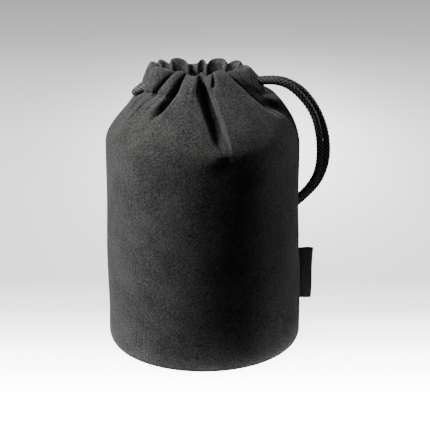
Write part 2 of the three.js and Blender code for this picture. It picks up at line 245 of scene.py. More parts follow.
def tube_faces(rows: int, sides: int) -> list[Face]:
    """Faces of a tube of points that run round it, row after row.

    Args:
        rows: rows of points.
        sides: points in a row.

    Returns:
        The faces. Each end is closed to its middle point, and the two follow the rows.
    """
    last = (rows - 1) * sides
    faces = []
    for i in range(sides):
        j = (i + 1) % sides
        for here in range(0, last, sides):
            above = here + sides
            faces.append((here + i, here + j, above + j, above + i))
        faces.append((rows * sides, j, i))
        faces.append((rows * sides + 1, last + i, last + j))
    return faces


def sweep(line: np.ndarray, radius: np.ndarray) -> tuple[np.ndarray, list[Face]]:
    """Round tube along a line, closed at both ends.

    Args:
        line: points of the line, in millimetres.
        radius: radius at each point of the line, for each side of the tube.

    Returns:
        The tube's points and faces.
    """
    rows, sides = radius.shape
    too_upright = 0.2
    tangent = np.gradient(line, axis=0)
    tangent /= np.linalg.norm(tangent, axis=1, keepdims=True)
    side = np.cross(tangent[0], (0.0, 0.0, 1.0))
    if np.linalg.norm(side) < too_upright:
        side = np.cross(tangent[0], (0.0, 1.0, 0.0))
    across = np.empty_like(line)
    for k, direction in enumerate(tangent):
        side = side - direction * np.dot(side, direction)
        side = side / np.linalg.norm(side)
        across[k] = side
    other = np.cross(tangent, across)
    around = np.linspace(0, 2 * math.pi, sides, endpoint=False)[None, :, None]
    spoke = np.cos(around) * across[:, None] + np.sin(around) * other[:, None]
    points = (line[:, None] + radius[..., None] * spoke).reshape(-1, 3)
    return np.vstack([points, line[:1], line[-1:]]), tube_faces(rows, sides)


def pad_profile(radius: float, low: float, high: float, edge: float, crown: float) -> list[Pair]:
    """Outline of a round pad with a soft edge and a crowned top.

    Args:
        radius: radius of the pad, in millimetres.
        low: height of its underside.
        high: height of its top at the edge.
        edge: how far in the edge is rounded.
        crown: how far the middle of the top stands over the edge.

    Returns:
        Radius and height of each point, from the middle below to the middle above.
    """
    half = (high - low) / 2
    flat = radius - edge
    below = [(r, low) for r in np.linspace(0, flat, 8)[:-1]]
    bend = np.radians(np.linspace(-90, 90, 13))
    rim = [(flat + edge * math.cos(b), low + half + half * math.sin(b)) for b in bend]
    above = [(r, high + crown * (1 - (r / flat) ** 2)) for r in np.linspace(flat, 0, 16)[1:]]
    return below + rim + above


def turned(
    name: str, profile: Sequence[Pair], material: bpy.types.Material, ring: bool = False,
) -> bpy.types.Object:
    """Round piece about the pouch's axis, drawn out from one circle after another.

    Args:
        name: name of the piece.
        profile: radius and height of each point of its outline, outwards along the underside first.
        material: its finish.
        ring: whether the outline closes on itself, clear of the axis. If not, it begins and ends on
            the axis.

    Returns:
        The piece.
    """
    steps, close = 144, 1e-7
    outline = [*profile, profile[0]] if ring else profile[1:-1]
    radius, level = outline[0]
    bpy.ops.object.select_all(action="DESELECT")
    bpy.ops.mesh.primitive_circle_add(
        vertices=steps, radius=radius * MM, location=(0.0, 0.0, level * MM),
        fill_type="NOTHING" if ring else "TRIFAN",
    )
    piece = bpy.context.active_object
    piece.name = piece.data.name = name
    bpy.ops.object.transform_apply(location=True, rotation=True, scale=True)
    bpy.ops.object.mode_set(mode="EDIT")
    if not ring:
        bpy.ops.mesh.region_to_loop()
    for next_radius, next_level in outline[1:]:
        rise = (0.0, 0.0, (next_level - level) * MM)
        share = next_radius / radius
        bpy.ops.mesh.extrude_edges_move(TRANSFORM_OT_translate={"value": rise})
        bpy.ops.transform.resize(value=(share, share, 1.0), center_override=(0.0, 0.0, next_level * MM))
        radius, level = next_radius, next_level
    if not ring:
        rise = (0.0, 0.0, (profile[-1][1] - level) * MM)
        bpy.ops.mesh.extrude_edges_move(TRANSFORM_OT_translate={"value": rise})
        bpy.ops.mesh.merge(type="CENTER")
    bpy.ops.mesh.select_all(action="SELECT")
    bpy.ops.mesh.remove_doubles(threshold=close)
    bpy.ops.mesh.normals_make_consistent(inside=False)
    bpy.ops.object.mode_set(mode="OBJECT")
    bpy.ops.object.shade_smooth()
    piece.data.materials.append(material)
    return piece


class EffectGroup:
    """Shader node group of an effect that several finishes share."""

    NAME = "effect"
    INPUTS = ()
    OUTPUTS = ()

    @classmethod
    def tree(cls) -> bpy.types.NodeTree:
        """Gives the node group, and builds it the first time.

        Returns:
            The group.
        """
        group = bpy.data.node_groups.get(cls.NAME)
        if group:
            return group
        group = bpy.data.node_groups.new(cls.NAME, "ShaderNodeTree")
        for way, names in (("INPUT", cls.INPUTS), ("OUTPUT", cls.OUTPUTS)):
            for name in names:
                group.interface.new_socket(name, in_out=way, socket_type="NodeSocketFloat")
        inlet = add_node(group, "NodeGroupInput")
        place = add_node(group, "ShaderNodeTexCoord").outputs["Object"]
        add_node(group, "NodeGroupOutput", cls.effect(group, place, inlet.outputs))
        return group

    @classmethod
    def effect(
        cls, group: bpy.types.NodeTree, place: bpy.types.NodeSocket, given: bpy.types.NodeOutputs,
    ) -> dict[str, bpy.types.NodeSocket]:
        """Adds the nodes of the effect, in the way of each kind of group.

        Args:
            group: the group.
            place: place on the object.
            given: the group's inputs.

        Returns:
            What the group puts out, by name.
        """
        raise NotImplementedError

    @staticmethod
    def noise(group: bpy.types.NodeTree, inputs: dict[str | int, Any]) -> bpy.types.NodeSocket:
        """Adds a noise and gives its value."""
        return add_node(group, "ShaderNodeTexNoise", inputs).outputs["Fac"]

    @staticmethod
    def sum_of(group: bpy.types.NodeTree, one: Any, share: float, other: Any) -> bpy.types.NodeSocket:
        """Adds a share of one value to another value."""
        inputs = {0: one, 1: share, 2: other}
        return add_node(group, "ShaderNodeMath", inputs, operation="MULTIPLY_ADD").outputs[0]


class NapGroup(EffectGroup):
    """Short soft nap: mottled shade and fine height, shared by the cloths."""

    NAME = "nap"
    INPUTS = ("Mottle Scale", "Grain Scale")
    OUTPUTS = ("Shade", "Height")
    TUFT_SCALE = 420.0
    GRAIN_SHARE = 0.75
    MOTTLE_SHARE = 0.25
    TUFT_SHARE = 0.6

    @classmethod
    def effect(
        cls, group: bpy.types.NodeTree, place: bpy.types.NodeSocket, given: bpy.types.NodeOutputs,
    ) -> dict[str, bpy.types.NodeSocket]:
        """Adds the mottling, the grain and the tufts of the nap.

        Args:
            group: the group.
            place: place on the object.
            given: the group's inputs.

        Returns:
            The shade and the height of the nap.
        """
        mottle = cls.noise(
            group, {"Vector": place, "Scale": given["Mottle Scale"], "Detail": 4.0, "Roughness": 0.6},
        )
        grain = cls.noise(
            group, {"Vector": place, "Scale": given["Grain Scale"], "Detail": 3.0, "Roughness": 0.7},
        )
        tuft = cls.noise(group, {"Vector": place, "Scale": cls.TUFT_SCALE, "Detail": 2.0})
        lesser = cls.sum_of(group, mottle, cls.MOTTLE_SHARE, 0.0)
        return {
            "Shade": cls.sum_of(group, grain, cls.GRAIN_SHARE, lesser),
            "Height": cls.sum_of(group, tuft, cls.TUFT_SHARE, grain),
        }


class YarnGroup(EffectGroup):
    """Spun fibres, and the ribs of warp and weft where the yarn is woven."""

    NAME = "yarn"
    INPUTS = ("Fibre Scale", "Weave Scale")
    OUTPUTS = ("Fibres", "Woven")

    @classmethod
    def effect(
        cls, group: bpy.types.NodeTree, place: bpy.types.NodeSocket, given: bpy.types.NodeOutputs,
    ) -> dict[str, bpy.types.NodeSocket]:
        """Adds the fibres and the two sets of ribs.

        Args:
            group: the group.
            place: place on the object.
            given: the group's inputs.

        Returns:
            The height of the fibres alone and of the woven yarn.
        """
        fibres = cls.noise(group, {"Vector": place, "Scale": given["Fibre Scale"], "Detail": 3.0})
        woven = fibres
        for direction in ("X", "Z"):
            ribs = add_node(
                group, "ShaderNodeTexWave", {"Vector": place, "Scale": given["Weave Scale"]},
                bands_direction=direction,
            )
            woven = cls.sum_of(group, ribs.outputs["Fac"], 1.0, woven)
        return {"Fibres": fibres, "Woven": woven}


@dataclass(frozen=True)
class Finish:
    """Finish that becomes a material the first time that it is asked for.

    Attributes:
        name: name of the material.
    """

    name: str

    def material(self) -> bpy.types.Material:
        """Gives the material, and builds it the first time."""
        return bpy.data.materials.get(self.name) or self.build()

    def build(self) -> bpy.types.Material:
        """Builds the material, in the way of each kind of finish."""
        raise NotImplementedError


@dataclass(frozen=True)
class ClothFinish(Finish):
    """Matt cloth with a short nap.

    Attributes:
        dark: shade in the lows of the nap, linear.
        light: shade on the tips of the nap, linear.
        roughness: roughness of the surface.
        sheen: weight of the sheen at grazing angles.
        mottle_scale: features in a metre of the broad mottling.
        grain_scale: features in a metre of the grain.
        relief: height of the nap, in metres.
    """

    dark: float
    light: float
    roughness: float
    sheen: float
    mottle_scale: float
    grain_scale: float
    relief: float

    STOPS = (0.41, 0.62)
    TINTS = ((0.92, 1.0, 0.97), (0.99, 1.0, 0.93))
    SHEEN_TINT = (0.9, 0.92, 0.95, 1.0)

    def build(self) -> bpy.types.Material:
        """Builds the material.

        Returns:
            The material of this cloth.
        """
        material, tree, shader = new_material(self.name)
        nap = add_node(
            tree, "ShaderNodeGroup", {"Mottle Scale": self.mottle_scale, "Grain Scale": self.grain_scale},
            node_tree=NapGroup.tree(),
        )
        ramp = add_node(tree, "ShaderNodeValToRGB", {"Fac": nap.outputs["Shade"]})
        for i, shade in enumerate((self.dark, self.light)):
            stop = ramp.color_ramp.elements[i]
            stop.position = self.STOPS[i]
            stop.color = (*(shade * part for part in self.TINTS[i]), 1.0)
        bump = add_node(tree, "ShaderNodeBump", {
            "Strength": 0.8, "Distance": self.relief, "Height": nap.outputs["Height"],
        })
        feed(tree, shader, {
            "Base Color": ramp.outputs["Color"],
            "Normal": bump.outputs["Normal"],
            "Roughness": self.roughness,
            "Specular IOR Level": 0.15,
            "Sheen Weight": self.sheen,
            "Sheen Roughness": 0.45,
            "Sheen Tint": self.SHEEN_TINT,
        })
        return material


@dataclass(frozen=True)
class YarnFinish(Finish):
    """Black spun yarn, as in a braided cord, a thread or a woven ribbon.

    Attributes:
        shade: base shade, linear.
        roughness: roughness of the yarn.
        gloss: specular level.
        fibre_scale: fibres in a metre.
        weave: threads in a metre of a woven ribbon, or 0 for none.
        sheen: weight of the sheen at grazing angles.
        painted_crown_light: whether the yarn carries painted highlights where it stands high and painted
            shade in its lows.
    """

    shade: float
    roughness: float
    gloss: float
    fibre_scale: float
    weave: float = 0.0
    sheen: float = 0.15
    # Painted highlights on the yarn's crowns and painted shade in its lows
    painted_crown_light: bool = False

    # Point attribute that holds the braid's painted highlights and painted shade
    CROWN_LIGHT_ATTRIBUTE = "relief"
    DARK_SHARE = 0.5
    LIGHT_SHARE = 1.8
    FIBRE_HEIGHT = 0.00015

    def build(self) -> bpy.types.Material:
        """Builds the material.

        Returns:
            The material of this yarn.
        """
        material, tree, shader = new_material(self.name)
        yarn = add_node(
            tree, "ShaderNodeGroup", {"Fibre Scale": self.fibre_scale, "Weave Scale": self.weave},
            node_tree=YarnGroup.tree(),
        )
        ramp = add_node(tree, "ShaderNodeValToRGB", {"Fac": yarn.outputs["Fibres"]})
        for i, share in enumerate((self.DARK_SHARE, self.LIGHT_SHARE)):
            ramp.color_ramp.elements[i].color = grey(self.shade * share)
        colour = ramp.outputs["Color"]
        # Painted light: the crowns are painted lit and the lows painted in shade
        if self.painted_crown_light:
            relief = add_node(tree, "ShaderNodeAttribute", attribute_name=self.CROWN_LIGHT_ATTRIBUTE)
            colour = add_node(
                tree, "ShaderNodeVectorMath", {0: colour, 1: relief.outputs["Color"]}, operation="MULTIPLY",
            ).outputs["Vector"]
        bump = add_node(tree, "ShaderNodeBump", {
            "Strength": 0.6,
            "Distance": self.FIBRE_HEIGHT,
            "Height": yarn.outputs["Woven" if self.weave else "Fibres"],
        })
        feed(tree, shader, {
            "Base Color": colour,
            "Normal": bump.outputs["Normal"],
            "Roughness": self.roughness,
            "Specular IOR Level": self.gloss,
            "Sheen Weight": self.sheen,
            "Sheen Roughness": 0.4,
        })
        return material


SUEDE = ClothFinish(
    "suede_nap", dark=0.010, light=0.069, roughness=0.95, sheen=0.12,
    mottle_scale=70.0, grain_scale=1250.0, relief=0.0010,
)
FELT = ClothFinish(
    "felt", dark=0.05, light=0.09, roughness=1.0, sheen=0.2,
    mottle_scale=60.0, grain_scale=900.0, relief=0.0005,
)
LINING_CLOTH = ClothFinish(
    "lining_cloth", dark=0.008, light=0.02, roughness=0.85, sheen=0.25,
    mottle_scale=90.0, grain_scale=1800.0, relief=0.0002,
)
# The cord carries painted highlights on its crowns and painted shade in its lows
BRAID = YarnFinish(
    "cord_yarn", shade=0.22, roughness=0.55, gloss=0.12, fibre_scale=2500.0, sheen=0.0, painted_crown_light=True,
)
THREAD = YarnFinish("sewing_thread", shade=0.02, roughness=0.5, gloss=0.4, fibre_scale=3000.0)
RIBBON = YarnFinish("ribbon_weave", shade=0.05, roughness=0.6, gloss=0.35, fibre_scale=2500.0, weave=420.0)
TAPE = YarnFinish("tape_weave", shade=0.01, roughness=0.7, gloss=0.3, fibre_scale=2200.0, weave=320.0)


@dataclass(frozen=True)
class Crease:
    """One crease of the gathered cloth, and the lobe that follows it.

    Attributes:
        cloth: place on the flat cloth, in degrees.
        casing: place at the casing, in degrees.
        rim: place at the rim, in degrees.
        depth: depth under the lobes, in millimetres.
        low: height where it dies out, in millimetres.
        fade: distance over which it dies out, in millimetres.
        gap: width of its floor at the ends, in millimetres.
        belly: how much wider its floor is half way up, in millimetres.
        before: width of the rounded edge of the lobe before it, in millimetres.
        after: width of the rounded edge of the lobe after it, in millimetres.
        rise: how far the rim of the lobe after it stands over the others, in millimetres.
        tuck: how far the rim of the lobe after it leans inwards, in millimetres.
        bend: how far its line swings aside between shoulder and casing, in degrees.
    """

    cloth: float
    casing: float
    rim: float
    depth: float = 6.0
    low: float = 122.0
    fade: float = 10.0
    gap: float = 1.5
    belly: float = 1.5
    before: float = 3.5
    after: float = 3.5
    rise: float = 0.0
    tuck: float = 0.0
    bend: float = 0.0

    def begun(self, height: np.ndarray) -> np.ndarray:
        """How far the crease has begun at a height, from 0 to 1."""
        return smooth((height - self.low) / self.fade)


CREASES = (
    Crease(0, 9, 10, depth=2.5, low=137, fade=5, gap=3.0, belly=0.0, before=2.5, after=2.5, rise=0.8),
    Crease(
        19, 36, 53, depth=8.0, low=127, fade=9, gap=0.4, belly=2.4, before=2.2, after=4.2,
        rise=0.4, tuck=2.4,
    ),
    Crease(72, 79, 76, depth=4.0, low=143, fade=3.5, gap=1.0, belly=0.4, before=2.4, after=2.0, rise=-1.2),
    Crease(
        80, 88, 91, depth=9.5, low=116, fade=11, gap=2.4, belly=4.2, before=5.4, after=2.2,
        rise=-1.4, bend=-4.6,
    ),
    Crease(
        136, 117, 111, depth=6.4, low=128, fade=8, gap=0.5, belly=0.9, before=2.6, after=3.2,
        rise=0.6, tuck=1.0,
    ),
    Crease(155, 139, 127, depth=4.8, low=136, fade=6, gap=0.3, belly=0.2, before=2.2, after=3.6, rise=1.4),
    Crease(180, 176, 176, depth=3.0, low=131, fade=6, gap=4.0, belly=0.0, before=2.5, after=2.5, rise=2.4),
    Crease(204, 203, 203, depth=4.5, low=128, rise=1.8),
    Crease(226, 225, 225, depth=7.0, low=119, rise=1.3),
    Crease(248, 251, 252, depth=6.0, low=125, rise=-2.2),
    Crease(259, 263, 264, depth=5.0, low=131, rise=0.3),
    Crease(272, 275, 276, depth=7.0, low=117, rise=0.8),
    Crease(316, 306, 305, depth=7.0, low=119, rise=0.8),
    Crease(338, 331, 330, depth=5.0, low=127, rise=-0.4),
)


@dataclass(frozen=True)
class Ripple:
    """One shallow wave of the cloth.

    Attributes:
        height: half of its height, in millimetres.
        count: waves round the pouch.
        climb: how far it turns as it rises, in radians in a millimetre.
        start: where it begins, in radians.
    """

    height: float
    count: int
    climb: float
    start: float

    def at(self, turn: np.ndarray, level: np.ndarray) -> np.ndarray:
        """Offset at places given by their angle in radians and their height."""
        return self.height * np.sin(self.count * turn + self.climb * level + self.start)


BROAD_RIPPLES = (
    Ripple(0.16, 3, 0.045, 0.6), Ripple(0.16, 5, -0.06, 2.1),
    Ripple(0.14, 8, 0.09, 4.0), Ripple(0.10, 2, -0.11, 1.2),
)
GATHER_RIPPLES = (Ripple(0.06, 41, 0.10, 0.8), Ripple(0.05, 58, -0.14, 3.0), Ripple(0.05, 77, 0.22, 5.1))


@dataclass(frozen=True)
class Dent:
    """One small dent of the cloth, or a bump where its depth is below zero.

    Attributes:
        place: place on the flat cloth, in degrees.
        level: height, in millimetres.
        width: half of its width, in millimetres.
        length: half of its length, in millimetres.
        depth: depth, in millimetres.
        lean: how far it moves aside as it rises.
        tilt: how far it is turned in the cloth, in degrees.
    """

    place: float
    level: float
    width: float
    length: float
    depth: float
    lean: float = 0.0
    tilt: float = 0.0

    def at(self, beside: np.ndarray, height: np.ndarray) -> np.ndarray:
        """Depth of the dent.

        Args:
            beside: distance round the wall from the dent's place, in millimetres.
            height: height, of the same form.

        Returns:
            The depth, in millimetres.
        """
        over = height - self.level
        turn = math.radians(self.tilt)
        across = beside * math.cos(turn) - over * (math.sin(turn) + self.lean)
        along = beside * math.sin(turn) + over * math.cos(turn)
        return self.depth * hump(across, self.width) * hump(along, self.length)


DENTS = (
    Dent(5.0, 135.5, width=5.0, length=4.5, depth=-2.6),
    Dent(14.5, 133.4, width=2.8, length=5.8, depth=5.2, tilt=36.87),
    Dent(180.0, 136.6, width=5.0, length=3.6, depth=3.5),
    Dent(84.0, 117.5, width=4.2, length=4.0, depth=-1.0),
    Dent(79.0, 111.0, width=3.6, length=5.0, depth=0.7),
    Dent(29.0, 23.0, width=1.3, length=5.0, depth=0.8, lean=0.9),
    Dent(33.5, 18.5, width=1.3, length=5.0, depth=0.8, lean=0.7),
    Dent(37.0, 26.0, width=1.3, length=5.0, depth=0.8, lean=1.1),
    Dent(0.0, 54.0, width=3.5, length=3.0, depth=1.0),
)
# Where the gathers are deeper, at the left of the front. The depth is how many times deeper.
LEFT_SLOPE = Dent(163.0, 131.0, width=12.0, length=9.0, depth=6.0)


@dataclass(frozen=True)
class Gathered:
    """Gathered cloth at a grid of places.

    Attributes:
        angle: angle round the axis, in degrees.
        offset: distance outwards from the smooth form, in millimetres.
        sunk: depth of the creases, in millimetres.
        rise: height of the rim over the mean, in millimetres.
    """

    angle: np.ndarray
    offset: np.ndarray
    sunk: np.ndarray
    rise: np.ndarray


@dataclass(frozen=True)
class ClothShape:
    """Form of the pouch's cloth, from the bottom edge to the drawn rim, in millimetres.

    Attributes:
        radius: radius of the body.
        fullness: how far the lower wall stands out over that radius.
        edge: radius of the soft bottom edge.
        lift: height of the cloth's underside over the floor.
        lean: how far the bottom stands to the right.
        lean_back: how far the cloth goes back to the left from there to the shoulder.
        shoulder: height where the cloth begins to draw in.
        casing: height of the cord in its casing.
        rim: height of the rim.
        skin: thickness of the suede alone.
        wall: thickness of the suede with the turned-in cloth of the collar.
        hem: thickness of a lobe of the folded hem round the cord.
        back_hem: how much thicker the hem is at the back.
        pinch: thickness of the hem in a crease.
        pinch_depth: depth of a crease that pinches the hem wholly.
        lobe: how far the lobes swell out.
        seams: places of the two side seams, in degrees.
        right: heights and distances of the outline on the right.
        left: heights and distances of the outline on the left.
        front: heights and distances of the outline in front and at the back.
    """

    radius: float = 50.0
    fullness: float = 0.8
    edge: float = 8.0
    lift: float = 0.15
    lean: float = 0.6
    lean_back: float = 0.8
    shoulder: float = 112.0
    casing: float = 142.0
    rim: float = 150.0
    skin: float = 1.2
    wall: float = 3.0
    hem: float = 9.0
    back_hem: float = 2.0
    pinch: float = 4.8
    pinch_depth: float = 6.0
    lobe: float = 1.2
    seams: Pair = (0.0, 180.0)
    right: tuple[Pair, ...] = (
        (10, 50.8), (33, 50.8), (69, 50.4), (98, 50.2), (112, 50.0), (117, 48.9), (122, 47.1),
        (126, 45.0), (130, 42.2), (134, 38.2), (138, 33.8), (142, 29.6), (146, 26.6), (150, 24.8),
    )
    left: tuple[Pair, ...] = (
        (10, 50.8), (33, 50.8), (69, 50.4), (98, 50.2), (112, 49.9), (115, 49.6), (118, 48.0),
        (122, 45.4), (127, 41.4), (133.5, 36.0), (138, 32.2), (142, 30.0), (146, 28.4), (150, 26.8),
    )
    front: tuple[Pair, ...] = (
        (10, 50.8), (98, 50.2), (112, 50.0), (116, 49.6), (119, 48.4), (123, 45.4), (127, 41.6),
        (131, 36.8), (135, 31.6), (139, 26.8), (142, 23.8), (146, 20.0), (150, 16.8),
    )

    # Softening of the outlines over their corners
    SOFTEN_REACH = 2.4
    SOFTEN_WIDTH = 1.6
    # Run of a crease: deepest half way up, closing over the cord, soft-edged below
    CREASE_SWELL = 0.4
    CREASE_SWELL_LENGTH = 7.0
    CREASE_CLOSES = 0.42
    CREASE_CLOSES_OVER = 6.0
    CREASE_BELLY_POWER = 0.7
    EDGE_SOFTER = 0.7
    EDGE_SOFTER_RATE = 2.2
    # Cloth that the lobes draw out of their flanks, and how far creases pull the rim down
    DRAWN_IN = 0.14
    RIM_DIP = 0.25
    # Row of stitches, higher in front and at the back than at the sides, and its groove
    STITCH_LOW = 138.8
    STITCH_RISE = 2.8
    GROOVE = 0.5
    GROOVE_AT_SIDES = 1.4
    GROOVE_WIDTH = 1.5
    # Fullness of the hem over the stitches, and the fold that is drawn flat
    HEM_FULL = 0.6
    HEM_FULL_OVER = 4.6
    HEM_FULL_WIDTH = 2.6
    FLAT_FOLD = 46.0
    FLAT_FOLD_WIDTH = 20.0
    FLAT_FOLD_SHARE = 0.9
    # Heights where the cloth changes, and how far each change takes
    RIPPLES_GROW = 25.0
    GATHERS_FOOT = 122.0
    GATHERS_GROW = 14.0
    TURNED_IN_GROWS = 8.0
    HEM_FOOT = 133.0
    HEM_GROWS = 7.0
    # Shallow grooves of the side seams
    SEAM_DEPTH = 0.55
    SEAM_WIDTH = 0.9
    SEAM_FOOT = 2.0
    SEAM_TOP = 128.0
    SEAM_FADE = 8.0
    # How sharply the front passes to the back, and how much thinner the cloth is in a crease
    BACK_SLOPE = 1.5
    CREASE_THINNER = 1.2

    def reach(self, table: Sequence[Pair], height: np.ndarray) -> np.ndarray:
        """Smooth line through a table of heights and distances from the axis.

        Args:
            table: pairs of height and distance.
            height: heights that are asked for.

        Returns:
            The distance at each height.
        """
        low, far = np.array(table, float).T
        spread = np.linspace(-self.SOFTEN_REACH, self.SOFTEN_REACH, 9)
        weight = hump(spread, self.SOFTEN_WIDTH)
        lines = [w * np.interp(height + d, low, far) for d, w in zip(spread, weight)]
        return sum(lines) / weight.sum()

    def axes(self, angle: np.ndarray, height: np.ndarray) -> tuple[np.ndarray, np.ndarray]:
        """Distances of the smooth form from the axis, sideways and forwards.

        Args:
            angle: angle round the axis, in degrees.
            height: height, of the same form.

        Returns:
            The sideways and the forward distance.
        """
        right = 0.5 + 0.5 * np.cos(np.radians(angle))
        sideways = self.reach(self.left, height) * (1 - right) + self.reach(self.right, height) * right
        return sideways, self.reach(self.front, height)

    def crease_line(self, crease: Crease, height: np.ndarray) -> np.ndarray:
        """Angle of a crease at each height, in degrees.

        Args:
            crease: the crease.
            height: heights that are asked for.

        Returns:
            The angle at each height.
        """
        up = np.clip((height - self.shoulder) / (self.casing - self.shoulder), 0.0, 1.0)
        over = np.clip((height - self.casing) / (self.rim - self.casing), 0.0, 1.0)
        swing = crease.bend * np.sin(math.pi * np.sqrt(up))
        drawn = (crease.casing - crease.cloth) * up ** 2 + (crease.rim - crease.casing) * over
        return crease.cloth + drawn + swing

    def sink(self, crease: Crease, height: np.ndarray, away: np.ndarray, edge: float) -> np.ndarray:
        """Depth of a crease beside its line.

        Args:
            crease: the crease.
            height: heights of the places.
            away: distance of the places from the crease's line, in millimetres.
            edge: width of the rounded edge on that side, in millimetres.

        Returns:
            The depth, in millimetres.
        """
        up = np.clip((height - crease.low) / (self.rim - crease.low), 0.0, 1.0)
        floor = crease.gap + crease.belly * np.sin(math.pi * up ** self.CREASE_BELLY_POWER)
        half_way = 0.5 * (crease.low + self.casing)
        over_cord = (height - self.casing - 0.5) / self.CREASE_CLOSES_OVER
        share = crease.begun(height)
        share = share * (1 + self.CREASE_SWELL * hump(height - half_way, self.CREASE_SWELL_LENGTH))
        share = share * (1 - self.CREASE_CLOSES * smooth(over_cord))
        soft = edge * (1 + self.EDGE_SOFTER * (1 - smooth(up * self.EDGE_SOFTER_RATE)))
        return crease.depth * share * (1 - quarter_round((away - floor / 2) / soft))

    def gathered(self, cloth: np.ndarray, height: np.ndarray) -> Gathered:
        """Folds of the gathered cloth.

        Args:
            cloth: angle on the flat cloth, in degrees.
            height: height, of the same form.

        Returns:
            The folds at these places.
        """
        angle = np.array(cloth, float)
        offset, depth, rise = np.zeros_like(angle), np.zeros_like(angle), np.zeros_like(angle)
        for start, end in zip(CREASES, CREASES[1:] + CREASES[:1]):
            turn = 360.0 if end.cloth <= start.cloth else 0.0
            share = (cloth - start.cloth) / (end.cloth + turn - start.cloth)
            inside = (share >= 0.0) & (share < 1.0)
            if not inside.any():
                continue
            t, z = share[inside], height[inside]
            first, last = start.begun(z), end.begun(z)
            s = t - self.DRAWN_IN * (first * (1 - t) + last * t) * np.sin(2 * math.pi * t)
            begin = self.crease_line(start, z)
            finish = self.crease_line(end, z) + turn
            here = begin + (finish - begin) * s
            sideways, forwards = self.axes(here, z)
            around = np.hypot(sideways * np.sin(np.radians(here)), forwards * np.cos(np.radians(here)))
            sunk_first = self.sink(start, z, np.radians(here - begin) * around, start.after)
            sunk_last = self.sink(end, z, np.radians(finish - here) * around, end.before)
            sunk = (sunk_first ** 3 + sunk_last ** 3) ** (1 / 3)
            full = np.sin(math.pi * np.clip(s, 0, 1))
            high = smooth((z - self.casing) / (self.rim - self.casing))
            angle[inside] = here
            depth[inside] = sunk
            offset[inside] = self.lobe * np.maximum(first, last) * full - sunk - start.tuck * full * high
            rise[inside] = (start.rise * full - self.RIM_DIP * sunk) * high
        return Gathered(angle, offset, depth, rise)

    def stitch_line(self, cloth: np.ndarray) -> np.ndarray:
        """Height of the row of stitches under the casing, at angles on the flat cloth."""
        return self.STITCH_LOW + self.STITCH_RISE * np.sin(np.radians(cloth)) ** 2

    def beside(self, cloth: np.ndarray, place: float) -> np.ndarray:
        """Distance round the wall from a place, both given in degrees on the flat cloth."""
        return self.radius * np.radians((cloth - place + 180) % 360 - 180)

    def marks(self, cloth: np.ndarray, height: np.ndarray) -> np.ndarray:
        """Small dents, puckers, gathers and seams of the cloth.

        Args:
            cloth: angle on the flat cloth, in degrees.
            height: height, of the same form.

        Returns:
            Offset along the outward normal, in millimetres.
        """
        u = np.radians(cloth)
        total = sum(ripple.at(u, height) for ripple in BROAD_RIPPLES) * smooth(height / self.RIPPLES_GROW)
        gathers = sum(ripple.at(u, height) for ripple in GATHER_RIPPLES)
        drawn = smooth((height - self.GATHERS_FOOT) / self.GATHERS_GROW)
        total = total + gathers * drawn * (1 + self.dented(LEFT_SLOPE, cloth, height))
        total = total + self.hem_marks(cloth, height)
        for dent in DENTS:
            total = total - self.dented(dent, cloth, height)
        begun = smooth((height - self.SEAM_FOOT) / self.SEAM_FADE)
        ended = smooth((height - self.SEAM_TOP) / self.SEAM_FADE)
        for seam in self.seams:
            groove = hump(self.beside(cloth, seam), self.SEAM_WIDTH)
            total = total - self.SEAM_DEPTH * groove * begun * (1 - ended)
        return total

    def dented(self, dent: Dent, cloth: np.ndarray, height: np.ndarray) -> np.ndarray:
        """Depth of a dent, in millimetres, at angles on the flat cloth and heights."""
        return dent.at(self.beside(cloth, dent.place), height)

    def hem_marks(self, cloth: np.ndarray, height: np.ndarray) -> np.ndarray:
        """Groove of the stitches and fullness of the hem over it.

        Args:
            cloth: angle on the flat cloth, in degrees.
            height: height, of the same form.

        Returns:
            Offset along the outward normal, in millimetres.
        """
        over = height - self.stitch_line(cloth)
        # The fold at the right of the front is drawn flat, so it shows little of either
        shown = 1 - self.FLAT_FOLD_SHARE * hump(self.beside(cloth, self.FLAT_FOLD), self.FLAT_FOLD_WIDTH)
        depth = self.GROOVE + self.GROOVE_AT_SIDES * np.cos(np.radians(cloth)) ** 4
        full = self.HEM_FULL * hump(over - self.HEM_FULL_OVER, self.HEM_FULL_WIDTH)
        return shown * (full - depth * hump(over, self.GROOVE_WIDTH))

    def thickness(self, cloth: np.ndarray, height: np.ndarray, sunk: np.ndarray) -> np.ndarray:
        """Thickness of the cloth, which is folded to a hem round the cord.

        Args:
            cloth: angle on the flat cloth, in degrees.
            height: height, of the same form.
            sunk: depth of the creases, of the same form.

        Returns:
            The thickness, in millimetres.
        """
        open_share = np.clip(1 - sunk / self.pinch_depth, 0, 1)
        upper = smooth((height - self.HEM_FOOT) / self.HEM_GROWS)
        doubled = smooth((height - self.shoulder) / self.TURNED_IN_GROWS)
        plain = self.skin + (self.wall - self.skin) * doubled
        back = smooth(0.5 - self.BACK_SLOPE * np.sin(np.radians(cloth)))
        thin = np.clip((height - self.casing + 1) / (self.rim - self.casing + 1), 0, 1) * back
        hem = (self.hem + self.back_hem * back) * (1 - thin) + self.wall * thin
        pinch = self.pinch * (1 - thin) + self.wall * thin
        low = (plain - self.CREASE_THINNER * (1 - open_share)) * (1 - upper)
        return low + (pinch + (hem - pinch) * open_share) * upper

    def deepest(self, height: np.ndarray) -> np.ndarray:
        """Depth of the inner face's deepest place at each height, in millimetres.

        Args:
            height: heights that are asked for.

        Returns:
            The depth at each height.
        """
        grid_u, grid_z = np.meshgrid(np.arange(0.0, 360.0), height)
        folds = self.gathered(grid_u, grid_z)
        depth = self.thickness(grid_u, grid_z, folds.sunk) - folds.offset
        return depth.max(axis=1)

